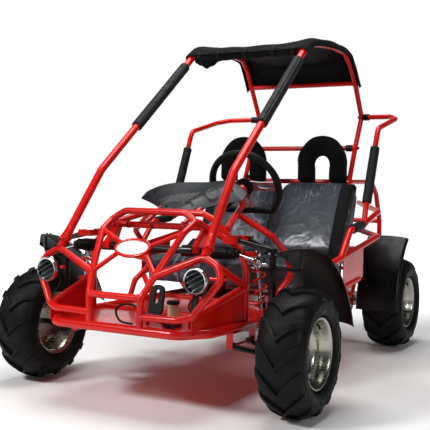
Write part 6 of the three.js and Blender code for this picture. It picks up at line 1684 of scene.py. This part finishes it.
def build_roll(bar_at):
    """The front edge, rolled round the bar between the pillars, bunched at the kart's right."""
    rows, sides = 90, 26
    made_f = []
    reach = 226
    layers = []
    for grow in (0, 1.8):
        layer = []
        for j in range(rows + 1):
            x = -reach + 2 * reach * j / rows
            bunch = math.exp(-(((x + 176) / 42) ** 2))
            for k in range(sides + 1):
                t = math.radians(100 - 330 * k / sides)
                radius = 16.5 + grow + 1.2 * math.sin(x * 0.09 + 2 * t) + 0.9 * lumps(
                    (x, 40 * math.cos(t), 40 * math.sin(t)), 0.03, 6.1
                )
                down = max(0.0, -math.sin(t))
                radius += bunch * (5 + 15 * down + 3.2 * math.sin(x * 0.21 + 3 * t)) * (0.35 + 0.65 * down)
                layer.append(V(
                    x, bar_at[1] - radius * math.cos(t) * 0.98,
                    bar_at[2] + radius * math.sin(t) * (1 + 0.2 * bunch * down)
                ))
        layers.append(layer)
    made_v = layers[1] + layers[0]
    stride, size = sides + 1, (rows + 1) * (sides + 1)
    for j in range(rows):
        for k in range(sides):
            a = j * stride + k
            made_f += [(a, a + 1, a + 1 + stride, a + stride), (
                size + a, size + a + stride, size + a + 1 + stride, size + a + 1
            )]
    edge = list(range(sides)) + [j * stride + sides for j in range(rows)]
    edge += [rows * stride + i for i in range(sides, 0, -1)] + [j * stride for j in range(rows, 0, -1)]
    for k, a in enumerate(edge):
        b = edge[(k + 1) % len(edge)]
        made_f.append((b, a, a + size, b + size))
    roll = piece("canopy_front_roll", (made_v, made_f), CLOTH, "chassis", "black_cloth", sharp=75)
    ties = []
    for k, x in enumerate((-205, -120, 0, 120, 205)):
        loop = [V(
            x, bar_at[1] + 20.5 * math.cos(t), bar_at[2] + 20.5 * math.sin(t)
        ) for t in np.linspace(0, 2 * math.pi, 25)]
        ties.append(piece(f"canopy_tie_{k}", sweep(
            loop, [(0.6, 6), (0.6, -6), (-0.6, -6), (-0.6, 6)]
        ), WEBBING, "chassis", "black_cloth", sharp=50))
    return [roll] + ties


build_seats()
build_headrests()
build_pads()
build_canopy()
# ---------------------------------------------------------------- trim
def matrix_of(*steps):
    out = Matrix.Identity(4)
    for step in steps:
        out = out @ step
    return np.array(out)


PEDAL_PIVOT_Y, PEDAL_PIVOT_Z = -812, 290


def build_pedals():
    lean = math.pi / 2 - math.radians(14)
    outline = rounded_outline([(-26, 2, 7), (26, 2, 7), (26, 94, 25), (-26, 94, 25)], 8)
    slot = rounded_outline([(-6.5, 34, 6), (6.5, 34, 6), (6.5, 78, 6), (-6.5, 78, 6)], 6)
    for node, x in (("brake_pedal", 72), ("gas_pedal", 226)):
        at = matrix_of(Matrix.Translation(
            (x, PEDAL_PIVOT_Y, PEDAL_PIVOT_Z)
        ), Matrix.Rotation(lean, 4, "X"), Matrix.Translation((0, 6, 0)))
        piece(node + "_pad", placed(
            plate_with_slot(outline, slot, 1, 11), at
        ), BLACK_PLASTIC, node, "black_plastic", [node], sharp=40, bevel=2)
        ribs = Geo()
        for k in range(6):
            for half in (-1, 1):
                y = 24 + 11 * k
                ribs.add(placed(bar((half * 9.5, y, 0.6), (half * 21, y, 0.6), 1.5, 10), at))
        piece(node + "_ribs", ribs, BLACK_PLASTIC, node, "black_plastic")
        bush = turned([
            (4.6, -26), (7.4, -26), (8, -25), (8, 25), (7.4, 26), (4.6, 26)
        ], "x", 32, (x, PEDAL_PIVOT_Y, PEDAL_PIVOT_Z), closed=True)
        piece(node + "_bush", bush, STEEL, node, "steel", sharp=40)


def build_brake_line():
    x, y = 142, -822
    floor = 0.202 * CAGE_TOP + 1.55
    body_z = 277.15
    barrel = [
        (0, -38), (7, -38), (8, -37), (8, -32), (12.4, -31.5), (13, -30.5), (13, 24), (12, 25),
        (12, 28), (13, 29), (13, 37), (12, 38), (0, 38)
    ]
    geo = Geo().add(turned(barrel, "y", 36, (x, y, body_z)))
    geo.add(box((31, 60.8, 12.6), (x, y, floor + 6.6)))
    piece("master_barrel", geo, CASTING, "chassis", "black_plastic", ["master_cylinder"], sharp=35, bevel=0.8)
    pot = [
        (0, 4), (12, 4), (12, 13.5), (16.6, 15), (17, 17), (17, 30), (16.7, 31), (17, 32), (17, 44),
        (16.7, 45), (17, 46), (17, 57.8), (0, 57.8)
    ]
    piece("reservoir", turned(pot, "z", 40, (x, y, body_z)), CREAM, "chassis", "grey_plastic", sharp=40)
    cap = [(0, 57.9), (18, 57.9), (19.4, 59), (19.4, 67), (18, 70), (12, 71), (0, 71)]
    geo = Geo().add(turned(cap, "z", 40, (x, y, body_z)))
    for k in range(24):
        t = 2 * math.pi * k / 24
        spot = V(x + 19 * math.cos(t), y + 19 * math.sin(t), body_z)
        geo.add(bar(spot + V(0, 0, 59.5), spot + V(0, 0, 66.5), 1.1, 6))
    piece("reservoir_cap", geo, BLACK_PLASTIC, "chassis", "black_plastic", sharp=40)
    points = [
        (142, -853, 277), (108, -888.5, 292.5), (39, -878.8, 327.6), (-18, -870.5, 325),
        (-39, -870.5, 302.9), (-18, -876.1, 275.6), (30, -881.6, 271)
    ]
    line = [spline(points, t) for t in np.linspace(0, 1, 70)]
    piece("brake_line", sweep(line, ring(3.5, 12)), BLACK_PLASTIC, "chassis", "black_plastic", sharp=60)
    ferrule = bar((142, -853, 277), (136, -860, 279.5), 5.2, 6, chamfer=1)
    piece("brake_line_nut", ferrule, STEEL, "chassis", "steel", sharp=30)


def build_badge():
    """A bare oval plate in the slanted plane of the nose, on four stays."""
    up = unit(V(0, 220, 256))
    out = np.cross(V(1, 0, 0), up)
    at = basis((0, -840, 502), V(1, 0, 0), up, out)
    oval = lambda grow, count=72: [(
        (60 + grow) * math.cos(t), (29.5 + grow) * math.sin(t)
    ) for t in (2 * math.pi * k / count for k in range(count))]
    section = [(-1.2, 0), (-1.2, 6.2), (0.4, 7.6), (4.2, 7.9), (7.2, 6.6), (8, 4), (8, 0)]
    verts, faces = [], []
    size, count = len(section), 72
    for k in range(count):
        for grow, z in section:
            px, py = oval(grow)[k]
            verts.append(V(px, py, z))
    for k in range(count):
        for i in range(size):
            a, c = k * size, ((k + 1) % count) * size
            faces.append((a + i, a + (i + 1) % size, c + (i + 1) % size, c + i))
    piece("badge_rim", placed((verts, faces), at), RED, "chassis", "red_paint", sharp=40)
    rings = 10
    verts, faces = [V(0, 0, 6.4)], []
    for j in range(1, rings + 1):
        for px, py in oval(0):
            verts.append(V(px * j / rings, py * j / rings, 6.4 - 1.6 * (j / rings) ** 2))
    for px, py in oval(0):
        verts.append(V(px, py, 1))
    for k in range(count):
        n = (k + 1) % count
        faces.append((0, 1 + k, 1 + n))
        for j in range(rings):
            faces.append(
                (1 + j * count + k, 1 + (j + 1) * count + k, 1 + (j + 1) * count + n, 1 + j * count + n)
            )
    faces.append(tuple(reversed(range(1 + rings * count, 1 + (rings + 1) * count))))
    piece("badge_plate", placed((verts, faces), at), WHITE, "chassis", "grey_plastic", sharp=60)
    geo = Geo()
    for foot, head in (
        ("xMid*", (-40, 14)), ("xMid", (46, 12)), ("xJoint", (48, -10)), ("xJoint*", (-50, -12))
    ):
        end = (at @ np.array([*head, -5.5, 1]))[:3]
        start = place(foot)
        step = unit(end - start)
        geo.add(bar(start + step * 4, end, 8, 18, chamfer=1)).add(bead(start + step * (HOOP * 1.08), step, 8))
    piece("badge_stays", geo, RED, "chassis", "red_paint", sharp=35)


def seat_tree(name):
    from mathutils.bvhtree import BVHTree
    mesh = bpy.data.objects[name].data
    return BVHTree.FromPolygons([v.co for v in mesh.vertices], [tuple(p.vertices) for p in mesh.polygons])


def build_belts():
    """A shoulder belt over the outer edge of each seat back, lying on the vinyl."""
    from_back = [(304, 6, 40), (305, 60, 40), (306, 130, 40), (307, 210, 40), (309, 290, 40), (311, 330, 36)]
    for side, label in BOTH:
        tree = seat_tree(f"seat_back_{label}_vinyl")
        spots, outs = [], []
        for x, y, z in from_back:
            spots.append(on_back(x, y, 0))
            outs.append(BACK[:3, 2])
        for angle in (35, 70, 110, 150):
            a = math.radians(angle)
            outs.append(unit(BACK[:3, 2] * math.cos(a) + BACK[:3, 1] * math.sin(a)))
            spots.append(on_back(311 - angle * 0.04, 338, -40))
        half, thick, rows, columns = 24, 1.4, 64, 6
        line = []
        for j in range(rows + 1):
            t = j / rows
            spot, out = spline(spots, t), unit(spline(outs, t))
            line.append((spot, out))
        heights = np.zeros((rows + 1, columns + 1))
        across_at = []
        for j, (spot, out) in enumerate(line):
            wide = V(1, 0, 0)
            wide = unit(wide - out * float(wide @ out))
            across_at.append(wide)
            for i in range(columns + 1):
                s = (2 * i / columns - 1) * half
                base = spot + wide * s
                base[0] *= side
                ray = out * V(side, 1, 1)
                hit = tree.ray_cast(Vector((base + ray * 110) * MM), Vector(-ray))
                heights[j, i] = 110 - hit[3] / MM if hit[3] is not None else 0
        level = heights.copy()
        for j in range(rows + 1):
            lo, hi = max(0, j - 1), min(rows, j + 1)
            level[j] = heights[lo:hi + 1].max(axis=0)
        for _ in range(2):
            level[:, 1:-1] = np.maximum(level[:, 1:-1], (level[:, :-2] + level[:, 2:]) / 2)
        for _ in range(3):
            smoothed = level.copy()
            smoothed[1:-1] = (level[:-2] + 2 * level[1:-1] + level[2:]) / 4
            level = np.maximum(smoothed, heights)
        surface = [[
            line[j][0] + across_at[j] * ((2 * i / columns - 1) * half) + line[j][1] * (level[j, i] + 0.7)
            for i in range(columns + 1)
        ] for j in range(rows + 1)]
        normals = [[line[j][1]] * (columns + 1) for j in range(rows + 1)]
        last = [p.copy() for p in surface[-1]]
        for k in range(1, 13):
            t = k / 12
            row = []
            for i in range(columns + 1):
                s = (2 * i / columns - 1) * half
                goal = spline([last[i], last[i] * 0.45 + V(286 + s, 440, 716) * 0.55 + V(0, 0, -4), V(
                    244 + s * 0.55, 466, 726 - 0.1 * s
                ), V(240 + s * 0.5, 481, 728), V(240 + s * 0.5, 493, 740)], t)
                row.append(goal)
            surface.append(row)
            normals.append([unit(V(0, -0.3, 1)) if t < 0.7 else unit(V(0, 0.6 + t, -0.8))] * (columns + 1))
        total = len(surface) - 1
        def sheet_at(grow):
            return lambda u, v: surface[round(v * total)][round(u * columns)] + (
                normals[round(v * total)][round(u * columns)] * grow
            )
        made = shell(columns, total, sheet_at(thick), sheet_at(0))
        piece("belt_" + label, moved(made, side), WEBBING, "chassis", "black_cloth", sharp=50)
        # Sewn fold of the belt round the cross tube
        loop = []
        for k in range(15):
            t = math.radians(-150 + 290 * k / 14)
            loop.append(V(240, 480 + 13 * math.cos(t), 741 + 13 * math.sin(t)))
        wrap = sweep(loop, [(0.7, 18), (0.7, -18), (-0.7, -18), (-0.7, 18)])
        piece("belt_loop_" + label, moved(wrap, side), WEBBING, "chassis", "black_cloth", sharp=50)


def build_fittings():
    for side, label in BOTH:
        # Foam on the arm rest
        made = moved(sleeve(place("armTop"), place("armRear"), (0.16, 0.84), SIDE + 0.3, 18), side)
        piece("arm_foam_" + label, made, FOAM, "chassis", "black_foam", sharp=50)
        # Clamped ends beside the hoop, with their bolts
        for name, end, step in (
            ("bar_clamp_", place("barHoop"), unit(place("barIn") - place("barHoop"))),
            ("cross_clamp_", place("hoopLow"), V(-1, 0, 0)),
        ):
            near, far = end + step * (HOOP + 1), end + step * (HOOP + 30)
            made = turned([
                (11.4, 0), (14.2, 0), (15, 1), (15, 27), (14.2, 28), (11.4, 28)
            ], "z", 32, closed=True)
            _, n, b = frames_along([near, far])[0]
            geo = Geo().add(placed(made, basis(near, n, b, step)))
            head = bolt(end - step * (HOOP - 1.2), -step, 6, 6)
            geo.add((head.points, head.faces))
            piece(
                name + label, geo if side > 0 else geo.mirrored(), BLACK_PLASTIC, "chassis",
                "black_plastic", sharp=35
            )
        # Wire from the lamp down to the loop
        lamp = V(LAMP_X, LAMP_Y, LAMP_Z)
        path = [
            lamp + V(-14, 2, -24), lamp + V(-18, 13, -40), V(250, -916, 350),
            place("loopLow") + V(2, 4, 15)
        ]
        line = [spline(path, t) for t in np.linspace(0, 1, 24)]
        piece("lamp_wire_" + label, moved(
            sweep(line, ring(2.6, 10)), side
        ), BLACK_PLASTIC, "chassis", "black_plastic")
    bar_at = place("lowCross")
    for k, x in enumerate((-133, -33, 96)):
        loop = [V(
            x, bar_at[1] + 11.8 * math.cos(t), bar_at[2] + 11.8 * math.sin(t)
        ) for t in np.linspace(0, 2 * math.pi, 25)]
        geo = Geo().add(
            sweep(loop, [(0.6, 2.4), (0.6, -2.4), (-0.6, -2.4), (-0.6, 2.4)])
        ).add(box((5.6, 5, 4), (x, bar_at[1] - 12.5, bar_at[2] - 1)))
        piece(f"cable_tie_{k}", geo, BLACK_PLASTIC, "chassis", "black_plastic", sharp=40)


build_pedals()
build_brake_line()
build_badge()
build_belts()
build_fittings()


# ---------------------------------------------------------------- stage, camera and light
def build_stage():
    floor_geo = Geo().add(prism([(-9000, -9000), (9000, -9000), (9000, 9000), (-9000, 9000)], -20, 0))
    mesh = bpy.data.meshes.new("studio_floor")
    mesh.from_pydata((np.array(floor_geo.points) * MM).tolist(), [], floor_geo.faces)
    floor = bpy.data.objects.new("studio_floor", mesh)
    bpy.context.scene.collection.objects.link(floor)
    look = Look("studio_floor", (244, 244, 244), 0.7, specular=0.2)
    look.uneven(look.noise(3), 0.05)
    # The floor turns into the white backdrop away from the kart
    reach = look.node("ShaderNodeVectorMath", operation="DOT_PRODUCT")
    look.link(look.where, reach.inputs[0])
    reach.inputs[1].default_value = (-0.4924, 0.8704, 0)
    look.set("Emission Color", (1, 1, 1, 1))
    look.link(look.ramp(reach.outputs["Value"], 0, 1, 1.0, 2.2), look.bsdf.inputs["Emission Strength"])
    mesh.materials.append(look.m)

    world = bpy.data.worlds.new("studio")
    bpy.context.scene.world = world
    world.use_nodes = True
    tree = world.node_tree
    sky = tree.nodes["Background"]
    where = tree.nodes.new("ShaderNodeTexCoord")
    split = tree.nodes.new("ShaderNodeSeparateXYZ")
    ramp = tree.nodes.new("ShaderNodeValToRGB")
    stops = [(0.0, 1.0), (0.62, 1.0), (0.69, 0.25), (0.85, 0.12), (1.0, 0.25)]
    ramp.color_ramp.elements[0].color = (1, 1, 1, 1)
    ramp.color_ramp.elements[1].position = stops[-1][0]
    ramp.color_ramp.elements[1].color = (stops[-1][1],) * 3 + (1,)
    for position, value in stops[1:-1]:
        stop = ramp.color_ramp.elements.new(position)
        stop.color = (value, value, value, 1)
    lift = tree.nodes.new("ShaderNodeMapRange")
    lift.inputs["From Min"].default_value = -1
    tree.links.new(where.outputs["Generated"], split.inputs[0])
    tree.links.new(split.outputs["Z"], lift.inputs["Value"])
    tree.links.new(lift.outputs["Result"], ramp.inputs["Fac"])
    # White behind the kart, dim on the side of the lens
    facing = tree.nodes.new("ShaderNodeVectorMath")
    facing.operation = "DOT_PRODUCT"
    facing.inputs[1].default_value = (-0.4924, 0.8704, 0)
    behind = tree.nodes.new("ShaderNodeMapRange")
    for socket, value in (("From Min", 0.80), ("From Max", 0.925), ("To Min", 0.12), ("To Max", 1.0)):
        behind.inputs[socket].default_value = value
    dimmed = tree.nodes.new("ShaderNodeMix")
    dimmed.data_type, dimmed.blend_type = "RGBA", "MULTIPLY"
    dimmed.inputs["Factor"].default_value = 1
    tree.links.new(where.outputs["Generated"], facing.inputs[0])
    tree.links.new(facing.outputs["Value"], behind.inputs["Value"])
    tree.links.new(ramp.outputs["Color"], dimmed.inputs["A"])
    tree.links.new(behind.outputs["Result"], dimmed.inputs["B"])
    tree.links.new(dimmed.outputs["Result"], sky.inputs["Color"])
    sky.inputs["Strength"].default_value = 1.0

    def area(name, place_m, target, size, power):
        light = bpy.data.lights.new(name, "AREA")
        light.shape = "RECTANGLE"
        light.size, light.size_y = size
        light.energy = power
        lamp = bpy.data.objects.new(name, light)
        lamp.location = place_m
        lamp.rotation_euler = (Vector(target) - Vector(place_m)).to_track_quat("-Z", "Y").to_euler()
        bpy.context.scene.collection.objects.link(lamp)

    area("overhead", (0, 0, 3.4), (0, 0, 0), (2.4, 2.4), 105)
    area("key", (-1.6, -3.6, 3.0), (0, 0, 0.5), (0.9, 0.6), 120)
    area("fill", (3.6, -2.4, 2.2), (0, 0, 0.5), (0.6, 1.2), 32)


def build_camera():
    # Right, down and ahead of the camera, fitted to the photograph
    right, down, ahead = (0.87013, 0.49237, 0.0212), (0.02089, 0.00613, -0.99976), (-0.49238, 0.87037, -0.00495)
    lens, frame_px, focal_px, centre_px = 36.0, 430, 835.704, (192.534, 194.242)
    camera = bpy.data.cameras.new("camera")
    camera.sensor_width = lens
    camera.lens = focal_px / frame_px * lens
    camera.shift_x = (frame_px / 2 - centre_px[0]) / frame_px
    camera.shift_y = (centre_px[1] - frame_px / 2) / frame_px
    eye = bpy.data.objects.new("camera", camera)
    turn = Matrix((right, [-c for c in down], [-c for c in ahead])).transposed().to_4x4()
    eye.matrix_world = Matrix.Translation((1.46417, -3.05199, 0.69090)) @ turn
    bpy.context.scene.collection.objects.link(eye)
    bpy.context.scene.camera = eye
    bpy.context.scene.view_settings.view_transform = "Standard"


build_stage()
build_camera()
